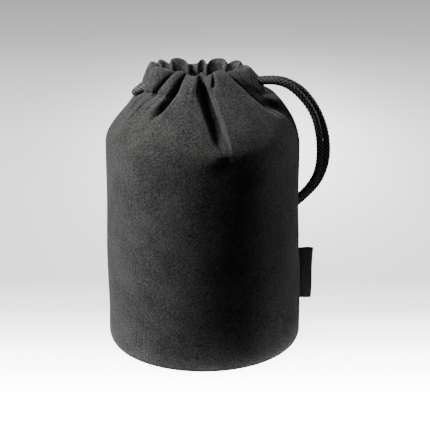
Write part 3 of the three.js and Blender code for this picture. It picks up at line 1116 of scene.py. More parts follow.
    def shifted(self, angle: np.ndarray, height: np.ndarray, push: np.ndarray) -> np.ndarray:
        """Places at a distance outwards from the smooth form.

        Args:
            angle: angle round the axis, in degrees.
            height: height, of the same form.
            push: distance outwards, of the same form.

        Returns:
            X, Y and Z in the last axis, in millimetres.
        """
        phi = np.radians(angle)
        sideways, forwards = self.axes(angle, height)
        nx, ny = np.cos(phi) * forwards, np.sin(phi) * sideways
        norm = np.hypot(nx, ny)
        x = sideways * np.cos(phi) + push * nx / norm
        y = forwards * np.sin(phi) + push * ny / norm
        return np.stack([x, -y, height], axis=-1)

    def point(self, cloth: np.ndarray, height: np.ndarray, curl: np.ndarray, inner: bool) -> np.ndarray:
        """Places of the cloth over the bottom edge.

        Args:
            cloth: angle on the flat cloth, in degrees.
            height: height before the rim's rise, of the same form.
            curl: how far the rim rolls over, from 0 to 1, of the same form.
            inner: whether the inner face is asked for.

        Returns:
            X, Y and Z in the last axis, in millimetres.
        """
        folds = self.gathered(cloth, height)
        thick = self.thickness(cloth, height, folds.sunk)
        push = folds.offset + self.marks(cloth, height)
        push = push - thick * (1 - curl / 2 if inner else curl / 2)
        place = self.shifted(folds.angle, height, push)
        place[..., 0] += self.lean - self.lean_back * np.clip(height, 0, self.shoulder) / self.shoulder
        place[..., 2] += folds.rise
        return place

    def below(self, cloth: np.ndarray, turn: np.ndarray, inset: float) -> np.ndarray:
        """Places of the cloth round the soft bottom edge.

        Args:
            cloth: angle on the flat cloth, in degrees.
            turn: angle round the edge, from 0 on the floor to 90 at the wall, of the same form.
            inset: distance inwards from the outer face, in millimetres.

        Returns:
            X, Y and Z in the last axis, in millimetres.
        """
        u, v = np.radians(cloth), np.radians(turn)
        wall = self.radius + self.fullness + self.marks(cloth, np.full_like(u, self.edge)) * np.sin(v)
        out = wall - self.edge + (self.edge - inset) * np.sin(v)
        up = self.edge - (self.edge - inset) * np.cos(v)
        x = out * np.cos(u) + self.lean * np.sin(v)
        return np.stack([x, -out * np.sin(u), up + self.lift], axis=-1)


@dataclass
class Layers:
    """Outer and inner faces of a piece of cloth, as rows of points that run round the pouch.

    Attributes:
        outer: rows of the outer face, from low to high.
        inner: rows of the inner face, from low to high.
        closed: whether the rows run all the way round.
    """

    outer: np.ndarray
    inner: np.ndarray
    closed: bool = False

    def points(self) -> np.ndarray:
        """All points of both faces, in one list."""
        return np.vstack([self.outer.reshape(-1, 3), self.inner.reshape(-1, 3)])

    def faces(self) -> list[Face]:
        """Faces of the closed shell.

        Returns:
            The faces, those of the cloth first and those of its cut edges last.
        """
        rows, columns = self.outer.shape[:2]
        start = rows * columns
        top = start - columns
        cloth, ends = [], []
        for i in range(columns if self.closed else columns - 1):
            j = (i + 1) % columns
            for k in range(rows - 1):
                a, b = k * columns + i, k * columns + j
                cloth.append((a, a + columns, b + columns, b))
                cloth.append((start + a, start + b, start + b + columns, start + a + columns))
            cloth.append((top + i, start + top + i, start + top + j, top + j))
            ends.append((i, j, start + j, start + i))
        if not self.closed:
            for k in range(rows - 1):
                for i, turn in ((0, 1), (columns - 1, -1)):
                    a = k * columns + i
                    ends.append((a, start + a, start + a + columns, a + columns)[::turn])
        return cloth + ends


@dataclass(frozen=True)
class Fold:
    """One of the collar's pieces.

    Attributes:
        side: its side of the pouch.
        number: its number on that side.
        first: where it begins on the flat cloth, in degrees.
        last: where it ends on the flat cloth, in degrees.
        middle: where its hinge is, in degrees; not used.
    """

    side: Side
    number: int
    first: int
    last: int
    middle: int

    def named(self, kind: str) -> str:
        """Name of a thing of this fold, such as its body."""
        return f"{self.side.value}_{kind}_{self.number}"

    def cord(self) -> str:
        """Name of the CAD node of the cord in this fold's casing."""
        return f"drawcord_{self.side.value}_{self.number}"


FOLDS = (
    Fold(Side.FRONT, 1, 0, 19, 21), Fold(Side.FRONT, 2, 19, 80, 61),
    Fold(Side.FRONT, 3, 80, 136, 102), Fold(Side.FRONT, 4, 136, 180, 152),
    Fold(Side.BACK, 1, 180, 226, 203), Fold(Side.BACK, 2, 226, 272, 249),
    Fold(Side.BACK, 3, 272, 316, 294), Fold(Side.BACK, 4, 316, 360, 338),
)
# Fold whose stretch of cord comes out at the left-hand vent
VENT_FOLD = FOLDS[3]


@dataclass
class Pouch:
    """Suede wall and gathered collar of the pouch.

    Attributes:
        shape: form of the cloth.
        columns: columns of points in a degree.
        joint: height where the collar's pieces meet the wall, in millimetres.
        seam: radius of the seam with the base, in millimetres.
        roll: height of the rolled rim, in millimetres.
        hidden: area of the cloth under a neighbour, on each side of a fold, in square millimetres; not
            used.
        spare: greatest width of that cloth, in millimetres; not used.
        spare_foot: height where that cloth begins, in millimetres.
        spare_tops: height where it ends in front and at the back, in millimetres.
        spare_skin: thickness of that cloth, in millimetres.
    """

    shape: ClothShape
    columns: int = 2
    joint: float = 104.0
    seam: float = 40.1
    roll: float = 3.6
    hidden: float = 330.0
    spare: float = 16.5
    spare_foot: float = 113.0
    spare_tops: Pair = (143.0, 139.5)
    spare_skin: float = 0.8

    def heights(self) -> tuple[np.ndarray, np.ndarray]:
        """Levels of the collar's rows, closer together where the folds are tighter.

        Returns:
            Heights, and how far the rim rolls over at each, from 0 to 1.
        """
        roll_foot = self.shape.rim - self.roll
        spans = ((self.joint, 116, 2.0), (116, 130, 1.0), (130, roll_foot, 0.5))
        plain = np.concatenate([np.arange(*span) for span in spans])
        roll_end, roll_rows = 88.0, 12
        turn = np.radians(np.linspace(0, roll_end, roll_rows))
        height = np.concatenate([plain, roll_foot + self.roll * np.sin(turn)])
        curl = np.concatenate([np.zeros_like(plain), 1 - np.cos(turn)])
        return height, curl

    def collar_layers(self) -> tuple[np.ndarray, np.ndarray]:
        """Outer and inner faces of the whole collar.

        Returns:
            Rows of the outer face and of the inner face.
        """
        height, curl = self.heights()
        cloth = np.arange(360 * self.columns + 1) / self.columns
        grid_u, grid_z = np.meshgrid(cloth % 360, height)
        grid_c = np.repeat(curl[:, None], len(cloth), axis=1)
        outside, inside = (self.shape.point(grid_u, grid_z, grid_c, inner) for inner in (False, True))
        return outside, inside

    def hidden_layers(self, place: int, after: bool) -> Layers:
        """Cloth of a fold that lies in the neck, under its neighbour, while the mouth is drawn shut.

        Args:
            place: the fold's edge on the flat cloth, in degrees.
            after: whether the neighbour follows the fold.

        Returns:
            Faces of the hidden cloth.
        """
        shape, foot = self.shape, self.spare_foot
        rows, columns, least_reach, corner = 22, 17, 6.0, 6.0
        overlap, low_width, more_width = 2.0, 7.0, 11.5
        dip = 1.6 if after else 0.3
        crease = next(c for c in CREASES if c.cloth == place % 360)
        top = self.spare_tops[0 if 0 < place < 180 else 1]
        height = np.linspace(foot, top, rows)
        far = np.linspace(0.0, 1.0, columns)
        if not after:
            far = far[::-1]
        level = foot + (top - corner * far ** 2 - foot) * np.linspace(0.0, 1.0, rows)[:, None]
        up = (level - foot) / (shape.casing - foot)
        depth = np.interp(level, height, shape.deepest(height) + self.spare_skin)
        line = shape.crease_line(crease, level)
        turn = np.radians(line)
        sideways, forwards = shape.axes(line, level)
        inner = np.hypot(sideways * np.cos(turn), forwards * np.sin(turn)) - depth
        width = (low_width + more_width * up) * far - overlap
        away = np.degrees(width / np.maximum(inner, least_reach))
        angle = line + (away if after else -away)
        deeper = depth + dip * far
        return Layers(*(shape.shifted(angle, level, -deep) for deep in (deeper, deeper + self.spare_skin)))

    def wall_layers(self) -> Layers:
        """Faces of the wall, from the base seam to where the collar's pieces begin.

        Returns:
            Faces of the wall, all the way round.
        """
        shape = self.shape
        cloth = np.arange(360 * self.columns) / self.columns
        flat_rows, edge_rows, side_rows = 3, 12, 48
        flat_out, edge_end, side_foot = shape.radius - shape.edge + 0.4, 84.0, shape.edge + 1.2
        seam_u, seam_r = np.meshgrid(np.radians(cloth), np.linspace(self.seam, flat_out, flat_rows))
        edge_u, edge_v = np.meshgrid(cloth, np.linspace(0, edge_end, edge_rows))
        plain = np.linspace(side_foot, self.joint, side_rows + 1)
        wall_u, wall_z = np.meshgrid(cloth, plain)
        layers = []
        for inset in (0.0, shape.skin):
            level = np.full_like(seam_u, inset + shape.lift)
            under = np.stack([seam_r * np.cos(seam_u), -seam_r * np.sin(seam_u), level], axis=-1)
            edge = shape.below(edge_u, edge_v, inset)
            side = shape.point(wall_u, wall_z, np.zeros_like(wall_u), inset > 0)
            layers.append(np.concatenate([under, edge, side]))
        return Layers(*layers, closed=True)

    def columns_of(self, fold: Fold) -> slice:
        """Columns of the collar that belong to a fold."""
        return slice(fold.first * self.columns, fold.last * self.columns + 1)

    def build(self) -> list[bpy.types.Object]:
        """Makes the wall and the pieces of the collar, and puts the wall on its body.

        Returns:
            The wall first, then the collar's pieces.
        """
        suede = SUEDE.material()
        wall = self.wall_layers()
        pieces = [mesh_object("suede_wall", wall.points(), wall.faces(), suede)]
        outside, inside = self.collar_layers()
        for fold in FOLDS:
            span = self.columns_of(fold)
            points, faces = np.empty((0, 3)), []
            for layers in (
                Layers(outside[:, span], inside[:, span]),
                self.hidden_layers(fold.first, False),
                self.hidden_layers(fold.last, True),
            ):
                faces += moved_faces(layers.faces(), len(points))
                points = np.vstack([points, layers.points()])
            pieces.append(mesh_object(f"collar_{fold.named('fold')}", points, faces, suede))
        self.shade(pieces, outside, len(wall.outer))
        self.dress(pieces)
        return pieces

    def shade(self, pieces: Sequence[bpy.types.Object], outside: np.ndarray, wall_rows: int) -> None:
        """Gives the wall and the collar one run of shading over their joins.

        Args:
            pieces: the wall and the collar's pieces.
            outside: rows of the collar's outer face.
            wall_rows: rows of the wall's outer face.
        """
        ring = outside[:, :-1]
        around = np.roll(ring, -1, axis=1) - np.roll(ring, 1, axis=1)
        normal = np.cross(np.gradient(ring, axis=0), around)
        normal /= np.linalg.norm(normal, axis=-1, keepdims=True) + 1e-12
        self.set_normals(pieces[0], (wall_rows - 1) * ring.shape[1], normal[0])
        normal = np.concatenate([normal, normal[:, :1]], axis=1)
        for piece, fold in zip(pieces[1:], FOLDS):
            self.set_normals(piece, 0, normal[:, self.columns_of(fold)].reshape(-1, 3))

    @staticmethod
    def set_normals(piece: bpy.types.Object, start: int, given: np.ndarray) -> None:
        """Sets the normals of a run of a piece's points.

        Args:
            piece: the piece.
            start: number of the first of these points.
            given: their normals, one row each.
        """
        mesh = piece.data
        normals = np.empty(len(mesh.vertices) * 3)
        mesh.vertices.foreach_get("normal", normals)
        normals = normals.reshape(-1, 3)
        normals[start:start + len(given)] = given
        corners = np.empty(len(mesh.loops), np.int64)
        mesh.loops.foreach_get("vertex_index", corners)
        mesh.normals_split_custom_set(normals[corners].tolist())

    def dress(self, pieces: Sequence[bpy.types.Object]) -> None:
        """Puts the wall on its body, bakes the collar's pieces in place and hides the CAD panels and
        pleats.

        Args:
            pieces: the wall and the collar's pieces.
        """
        wall = pieces[0]
        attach(wall, "pouch")
        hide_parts("front_panel", "back_panel")
        for piece, fold in zip(pieces[1:], FOLDS):
            fold.named("fold")
            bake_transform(piece)
            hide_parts(fold.named("pleat"))


@dataclass
class Drawcord:
    """Braided cord: its two free tails, its run in the casing, its knot and its ends.

    Attributes:
        shape: form of the cloth that the cord runs in.
        diameter: diameter, in millimetres.
        strands: strands that wind each way.
        pitch: length of one turn of a strand, in millimetres.
        step: distance between points along the cord, in millimetres.
        level: height of its run in the casing, in millimetres.
        cover: least depth of that run under the smooth form, in millimetres.
        held: which chosen point of a tail still moves with its fold; not used.
        free: which chosen point of a tail stays where it is; not used.
        split: which chosen point of a tail its lower stretch begins at.
        floor: which chosen point of a tail begins to move with the knot, counted from the end; not used.
    """

    shape: ClothShape
    diameter: float = 3.4
    strands: int = 6
    pitch: float = 13.0
    step: float = 0.4
    level: float = 142.8
    cover: float = 5.8
    held: int = 4
    free: int = 13
    split: int = 20
    floor: int = -7

    # Course of each tail, from the right-hand vent down behind the pouch to the knot
    FRONT_TAIL = (
        (24.2, -3.8, 142.8), (24.6, -2.8, 142.8), (26.3, -2.05, 142.8), (29.2, -1.9, 142.9),
        (32.8, -1.9, 143.2), (36.8, -1.9, 143), (40.8, -1.7, 142), (44.8, -1.4, 140), (49.2, -1, 136.2),
        (52.8, -0.4, 132), (55.9, 0.1, 127.3), (58.1, 0.7, 122.2), (59.6, 1.5, 116.5),
        (60.6, 2.6, 110.3), (61, 3.9, 103.5), (60.8, 5.6, 97), (59.7, 7.8, 90.6), (57.4, 11.2, 84.4),
        (54.4, 15.4, 78.8), (51, 20, 73.8), (47.1, 25.6, 69), (42.4, 32.4, 63.8), (36.6, 38.8, 57.8),
        (30.8, 44.1, 50.8), (26, 47.7, 42.6), (22.5, 50, 33.8), (20, 51.7, 25.6), (18.1, 53.2, 17.8),
        (16.4, 54.3, 11.2), (13.4, 55.3, 5.7), (7.8, 56.3, 2.9), (0, 56.7, 2.2), (-8, 56.7, 2.2),
        (-14.5, 56.7, 3), (-19.6, 56.7, 4.4),
    )
    BACK_TAIL = (
        (24.2, 3.8, 142.8), (24.6, 2.8, 142.8), (26.3, 2.05, 142.8), (29.2, 1.9, 142.9),
        (32.8, 1.9, 143.2), (36.8, 1.9, 143.2), (41.2, 2, 142.6), (46, 2.2, 140.6), (51, 2.6, 137.2),
        (55.5, 3, 132), (59.2, 3.3, 126.1), (62, 3.8, 119.5), (63.8, 4.6, 112.7), (64.6, 5.8, 105.7),
        (64.5, 7.6, 98.6), (63.2, 10.6, 91.4), (60.9, 14.8, 84.4), (57.6, 19.4, 78.2), (53.8, 24, 72.6),
        (50, 29.1, 67.2), (45.2, 34.4, 61.3), (39.9, 39.3, 54.8), (34.4, 43.4, 47.6), (29.9, 46.9, 39.4),
        (26.4, 49.3, 31), (23.8, 51.2, 23), (21.9, 53.4, 15.8), (19.8, 56, 9.4), (15.1, 59.1, 4.7),
        (7.8, 60.4, 2.7), (0, 60.5, 2.2), (-8, 60.5, 2.2), (-14.5, 60.5, 3), (-19.6, 60.5, 4.4),
    )
    # Cut ends past the knot, and the coil of cord that is the knot
    FIRST_END = ((-31.5, 56.7, 4.6), (-34.9, 56.3, 3.3), (-40.5, 55.4, 2.2))
    SECOND_END = ((-31.5, 60.5, 4.6), (-34.9, 60.9, 3.3), (-40.5, 61.8, 2.2))
    KNOT_CENTRE = (-25.5, 58.6, 4.9)
    KNOT_TURNS = 2.4
    KNOT_LENGTH = 6.4
    KNOT_COIL = 2.75
    # Small bow of the cord at the left-hand vent
    LEFT_VENT = (
        (-24.0, -9.4, 142.4), (-28.4, -8.4, 141.6), (-32.0, -5.8, 139.6), (-34.6, -1.4, 137.2),
        (-34.0, 3.6, 136.8), (-29.4, 8.4, 139.4), (-22.6, 12.5, 142.6),
    )
    # Height of a strand, more of it where two cross, and how far their lows lie under the mean
    STRAND = 0.42
    CROSSING = 0.10
    LOWS = 0.40
    # Painted shade in the braid's lows and painted highlights on its crowns
    PAINTED_LOW_SHADE = 0.02
    CROWN_HIGHLIGHT_POWER = 9

    def braid(self, around: np.ndarray, along: np.ndarray) -> np.ndarray:
        """Height of the braid's strands on the cord's face.

        Args:
            around: angle round the cord, in radians.
            along: distance along it, in millimetres.

        Returns:
            Height over the mean radius, in millimetres.
        """
        one = self.strands * (around / (2 * math.pi) + along / self.pitch)
        two = self.strands * (around / (2 * math.pi) - along / self.pitch)
        over = np.cos(math.pi * (np.floor(one) + np.floor(two)))
        first = 1 - (2 * (one % 1) - 1) ** 2
        second = 1 - (2 * (two % 1) - 1) ** 2
        strand = self.STRAND * np.where(over > 0, first, second)
        return strand + self.CROSSING * np.minimum(first, second) - self.LOWS

    def tube(self, name: str, line: np.ndarray, shrink: float = 0.0) -> bpy.types.Object:
        """Braided tube along a line.

        Args:
            name: name of the piece.
            line: evenly spaced points, in millimetres.
            shrink: how far the tube's ends are drawn in, in millimetres.

        Returns:
            The tube, closed at both ends.
        """
        sides, mean_lift, shrink_length = 24, 0.12, 1.2
        run = run_along(line)
        around = np.linspace(0, 2 * math.pi, sides, endpoint=False)
        height = self.braid(*np.meshgrid(around, run))
        near_end = np.minimum(run, run[-1] - run)
        drawn_in = shrink * (1 - quarter_round(near_end / shrink_length))[:, None]
        points, faces = sweep(line, self.diameter / 2 + mean_lift + height - drawn_in)
        piece = mesh_object(name, points, faces, BRAID.material())
        # Painted light: each point is painted lit on the strands' crowns and dark in their lows
        share = (height - height.min()) / (height.max() - height.min())
        shade = self.PAINTED_LOW_SHADE + (1 - self.PAINTED_LOW_SHADE) * share.ravel() ** self.CROWN_HIGHLIGHT_POWER
        shade = np.append(shade, [self.PAINTED_LOW_SHADE] * 2)
        crown_light_colours = np.column_stack([shade, shade, shade, np.ones_like(shade)])
        relief = piece.data.color_attributes.new(YarnFinish.CROWN_LIGHT_ATTRIBUTE, "FLOAT_COLOR", "POINT")
        relief.data.foreach_set("color", crown_light_colours.ravel())
        return piece

    def build(self) -> list[bpy.types.Object]:
        """Makes the cord's pieces, and puts all but the loops and tails on their bodies.

        Returns:
            The pieces.
        """
        pieces = self.build_tail("front", self.FRONT_TAIL)
        pieces += self.build_tail("back", self.BACK_TAIL)
        return pieces + self.build_ends() + self.build_vent() + self.build_casing()

    def build_tail(self, name: str, points: Sequence[Place]) -> list[bpy.types.Object]:
        """Makes one free tail, from the right-hand vent to the knot.

        Args:
            name: side of the collar that it comes from.
            points: its chosen points, in millimetres.

        Returns:
            Its loop beside the pouch and its hanging end.
        """
        whole = catmull_rom(points, self.step)
        corner = np.array(points[self.split])
        cut = int(np.argmin(np.linalg.norm(whole - corner, axis=1)))
        upper, lower = whole[:cut + 1], whole[cut:]
        top = self.tube(f"cord_{name}_loop", upper)
        tail = self.tube(f"cord_{name}_tail", lower)
        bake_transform(top)
        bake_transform(tail)
        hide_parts(f"drawcord_tail_{name}")
        return [top, tail]

    def build_ends(self) -> list[bpy.types.Object]:
        """Makes the wrapped knot, the cords through it and the two cut ends past it.

        Returns:
            The pieces, the knot first.
        """
        x, y, z = self.KNOT_CENTRE
        turns = np.linspace(0, 2 * math.pi * self.KNOT_TURNS, 120)
        coil = np.column_stack([
            x - self.KNOT_LENGTH / 2 + self.KNOT_LENGTH * turns / turns[-1],
            y + self.KNOT_COIL * np.cos(turns),
            z + self.KNOT_COIL * np.sin(turns),
        ])
        knot = self.tube("cord_knot", catmull_rom(coil[::4], self.step), shrink=0.6)
        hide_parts("drawcord_knot")
        pieces = [knot]
        pulled = 0.4
        for number, tail, points in (
            (1, self.FRONT_TAIL, self.FIRST_END),
            (2, self.BACK_TAIL, self.SECOND_END),
        ):
            back_x, back_y, back_z = tail[-1]
            drawn = y + pulled * (back_y - y)
            through = (
                (back_x + 1.2, back_y, back_z - 0.3), (back_x - 1.0, back_y, back_z + 0.2),
                (x + 2.5, drawn, z), (x - 2.5, drawn, z), points[0], points[1],
            )
            core = self.tube(f"knot_core_{number}", catmull_rom(through, self.step))
            end = self.tube(f"cord_end_{number}", catmull_rom(points, self.step), shrink=0.5)
            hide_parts(f"drawcord_end_{number}")
            pieces += [core, end]
        for piece in pieces:
            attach(piece, "cord_knot")
        return pieces

    def build_vent(self) -> list[bpy.types.Object]:
        """Makes the stretch that shows at the left-hand vent.

        Returns:
            The stretch, alone in its list.
        """
        piece = self.tube("cord_left_vent", catmull_rom(self.LEFT_VENT, self.step))
        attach(piece, VENT_FOLD.named("fold"))
        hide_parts(VENT_FOLD.cord())
        return [piece]

    def build_casing(self) -> list[bpy.types.Object]:
        """Makes the stretches that run in the casing, one in each fold.

        Returns:
            The stretches.
        """
        spread = np.arange(-24, 25)
        weight = hump(spread, 14.0)
        under_crease, casing_step, vent_width = 2.4, 0.5, 12
        pieces = []
        for fold in FOLDS:
            at_vent = fold is VENT_FOLD
            last = fold.last - vent_width if at_vent else fold.last
            cloth = np.linspace(fold.first + 0.5, last - 0.5, 241)
            level = np.full_like(cloth, self.level)
            folds = self.shape.gathered(cloth, level)
            near = np.clip(np.arange(len(cloth))[:, None] + spread, 0, len(cloth) - 1)
            deepest = folds.sunk[near].max(axis=1)
            depth = (deepest[near] * weight).sum(axis=1) / weight.sum()
            line = self.shape.shifted(folds.angle, level, -np.maximum(depth + under_crease, self.cover))
            body = fold.named("fold")
            piece = self.tube(f"casing_cord_{body}", catmull_rom(line[::12], casing_step))
            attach(piece, body)
            if not at_vent:
                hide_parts(fold.cord())
            pieces.append(piece)
        return pieces


@dataclass
class Stitching:
    """Row of stitches that closes the casing, in every fold of the collar.

    Attributes:
        shape: form of the cloth.
        pitch: distance from stitch to stitch, in millimetres.
        length: length of a stitch, in millimetres.
        thread: thickness of the thread, in millimetres.
        arch: how far the middle of a stitch stands over its ends, in millimetres.
        sunk: how far its ends lie in the cloth, in millimetres.
    """

    shape: ClothShape
    pitch: float = 3.0
    length: float = 2.0
    thread: float = 0.5
    arch: float = 0.45
    sunk: float = 0.30

    def build(self) -> list[bpy.types.Object]:
        """Makes the stitches and puts them on their folds.

        Returns:
            The stitches of each fold.
        """
        margin, first_stitch, sides = 0.6, 0.5, 6
        share = np.linspace(0, 1, 7)
        lift = (self.arch * np.sin(math.pi * share) - self.sunk)[:, None]
        pieces = []
        for fold in FOLDS:
            cloth = np.linspace(fold.first + margin, fold.last - margin, 400)
            level = self.shape.stitch_line(cloth)
            outer, inner = (
                self.shape.point(cloth, level, np.zeros_like(cloth), inner) for inner in (False, True)
            )
            out = outer - inner
            out /= np.linalg.norm(out, axis=1, keepdims=True)
            run = run_along(outer)
            points, faces = np.empty((0, 3)), []
            for start in np.arange(first_stitch, run[-1] - self.length, self.pitch):
                place = start + self.length * share
                line = sample(outer, run, place) + sample(out, run, place) * lift
                own, own_faces = sweep(line, np.full((len(share), sides), self.thread / 2))
                faces += moved_faces(own_faces, len(points))
                points = np.vstack([points, own])
            body = fold.named("fold")
            piece = mesh_object(f"stitches_{body}", points, faces, THREAD.material())
            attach(piece, body)
            pieces.append(piece)
        return pieces


@dataclass
class Inside:
    """Padding, lining, base and turned-in seams, which the suede hides.

    Attributes:
        padding: inner and outer radius of the wall's padding, in millimetres.
        lining: inner and outer radius of the lining, in millimetres.
        tape: inner and outer radius of the turned-in seams, in millimetres.
        tape_turn: how far a turned-in seam reaches from its middle, in degrees.
        seam_turn: how far the padding stays clear of the middle of a seam, in degrees.
        foot: height where the padding and the lining begin, in millimetres.
        top: height where they end, in millimetres.
        binding: half of the width of the base seam's binding, in millimetres.
    """

    padding: Pair = (46.75, 48.0)
    lining: Pair = (45.85, 46.35)
    tape: Pair = (47.0, 48.2)
    tape_turn: float = 3.8
    seam_turn: float = 4.4
    foot: float = 6.0
    top: float = 113.6
    binding: float = 1.7

    def sleeve(
        self, name: str, radii: Pair, span: Pair, ripple: float, material: bpy.types.Material,
    ) -> bpy.types.Object:
        """Upright curved layer, all the way round or for part of it.

        Args:
            name: name of the piece.
            radii: its inner and outer radius, in millimetres.
            span: where it begins and ends, in degrees.
            ripple: height of its shallow ripples, in millimetres.
            material: its finish.

        Returns:
            The piece.
        """
        first, last = span
        column_width, rows = 1.5, 60
        closed = last - first >= 360
        count = max(9, int((last - first) / column_width))
        cloth = np.radians(np.linspace(first, last, count, endpoint=not closed))
        grid_u, grid_z = np.meshgrid(cloth, np.linspace(self.foot, self.top, rows))
        waves = (Ripple(1.0, 20, 0.05, 0.0), Ripple(1.0, 13, -0.09, 1.0))
        wave = ripple * 0.5 * sum(one.at(grid_u, grid_z) for one in waves)
        inner, outer = (
            np.stack([(r + wave) * np.cos(grid_u), -(r + wave) * np.sin(grid_u), grid_z], axis=-1)
            for r in radii
        )
        layers = Layers(outer, inner, closed)
        return mesh_object(name, layers.points(), layers.faces(), material)

    def build(self) -> list[bpy.types.Object]:
        """Makes the hidden layers and puts them on the pouch.

        Returns:
            The layers.
        """
        felt, cloth, tape = FELT.material(), LINING_CLOTH.material(), TAPE.material()
        pieces = []
        for node, first in (("front_padding", 0.0), ("back_padding", 180.0)):
            span = (first + self.seam_turn, first + 180.0 - self.seam_turn)
            piece = self.sleeve(f"felt_{node}", self.padding, span, 0.12, felt)
            pieces.append(self.hide(piece, node, Slot.PADDING))
        wall = self.sleeve("lining_sleeve", self.lining, (0.0, 360.0), 0.2, cloth)
        pieces.append(self.hide(wall, "lining_wall", Slot.LINING))
        for node, seam in (("right_seam_tape", 0.0), ("left_seam_tape", 180.0)):
            span = (seam - self.tape_turn, seam + self.tape_turn)
            piece = self.sleeve(f"turned_{node}", self.tape, span, 0.1, tape)
            pieces.append(self.hide(piece, node, Slot.TAPE))
        return pieces + self.build_base()

    def build_base(self) -> list[bpy.types.Object]:
        """Makes the layers of the base and the binding of its seam.

        Returns:
            The layers, from below, and the binding.
        """
        clearance = 0.05
        pieces = []
        for name, node, edge, crown, finish, slot in (
            ("base_disc", "base_panel", 0.5, 0.0, SUEDE, Slot.SUEDE),
            ("base_felt", "base_padding", 1.0, 0.2, FELT, Slot.PADDING),
            ("lining_floor", "lining_base", 0.3, 0.0, LINING_CLOTH, Slot.LINING),
        ):
            low, high = (np.array(corner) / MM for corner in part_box(node))
            profile = pad_profile(high[0] - clearance, low[2], high[2], edge, crown)
            piece = turned(name, profile, finish.material())
            pieces.append(self.hide(piece, node, slot))
        low, high = (np.array(corner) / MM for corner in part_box("base_seam_binding"))
        middle, half = (low[2] + high[2]) / 2, (high[2] - low[2]) / 2
        centre = high[0] - self.binding
        bend = np.radians(np.arange(0, 360, 15))
        band = [(centre + self.binding * math.cos(b), middle + half * math.sin(b)) for b in bend]
        piece = turned("base_binding", band, TAPE.material(), ring=True)
        return pieces + [self.hide(piece, "base_seam_binding", Slot.TAPE)]

    @staticmethod
    def hide(piece: bpy.types.Object, node: str, slot: Slot) -> bpy.types.Object:
        """Puts a layer on the pouch in the place of its CAD node.

        Args:
            piece: the layer.
            node: the CAD node that it replaces.
            slot: its material slot; not used.

        Returns:
            The layer.
        """
        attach(piece, "pouch")
        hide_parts(node)
        return piece


@dataclass
class Label:
    """Ribbon folded to a loop, with both ends sewn into the right-hand seam.

    Attributes:
        low: height of its lower edge, in millimetres.
        height: width of the ribbon, in millimetres.
        reach: how far the loop stands out, in millimetres.
        loop: thickness of the loop at its fold, in millimetres.
        ribbon: thickness of the ribbon, in millimetres.
        root: distance of the seam from the axis, in millimetres.
        sewn: distance from the seam over which the loop opens, in millimetres.
        cloth: length of the flat ribbon, in metres; not used.
    """

    low: float = 24.0
    height: float = 28.0
    reach: float = 7.4
    loop: float = 2.0
    ribbon: float = 0.42
    root: float = 50.6
    sewn: float = 4.5
    cloth: float = 0.0158

    def row(self, level: float, share: np.ndarray) -> np.ndarray:
        """One row of the loop's points, from one sewn end to the other.

        Args:
            level: height of the row in the ribbon, from 0 to 1.
            share: places along the ribbon, from 0 to 1.

        Returns:
            X, Y and Z of each place, in millimetres.
        """
        # The loop stands out further and opens wider towards its top, and sways a little aside
        far = self.reach * (0.90 + 0.10 * level) + 0.15 * math.sin(7 * level)
        half = self.loop * (0.55 + 0.45 * level ** 2) / 2
        bend = 0.5 * math.sin(2.2 * level + 0.4)
        turn = (share - 0.5) * math.pi
        out = far * np.cos(turn) ** 0.55
        # Both layers lie close together at the seam
        opened = smooth(out / self.sewn)
        across = half * np.sin(turn) * (0.25 + 0.75 * opened) + bend * opened
        return np.column_stack([self.root + out, across, np.full_like(out, self.low + self.height * level)])

    def build(self) -> list[bpy.types.Object]:
        """Makes the ribbon and sews it on.

        Returns:
            The label, alone in its list.
        """
        rows, count = 29, 45
        share = np.linspace(0, 1, count)
        points = np.vstack([self.row(level, share) for level in np.linspace(0, 1, rows)])
        faces = []
        for k in range(rows - 1):
            for i in range(count - 1):
                a = k * count + i
                faces.append((a, a + 1, a + 1 + count, a + count))
        piece = mesh_object("label_loop", points, faces, RIBBON.material())
        solid = piece.modifiers.new("ribbon", "SOLIDIFY")
        solid.thickness = self.ribbon * MM
        solid.offset = 0.0
        select_only(piece)
        bpy.ops.object.modifier_apply(modifier=solid.name)
        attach(piece, "label")
        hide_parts("label")
        return [piece]


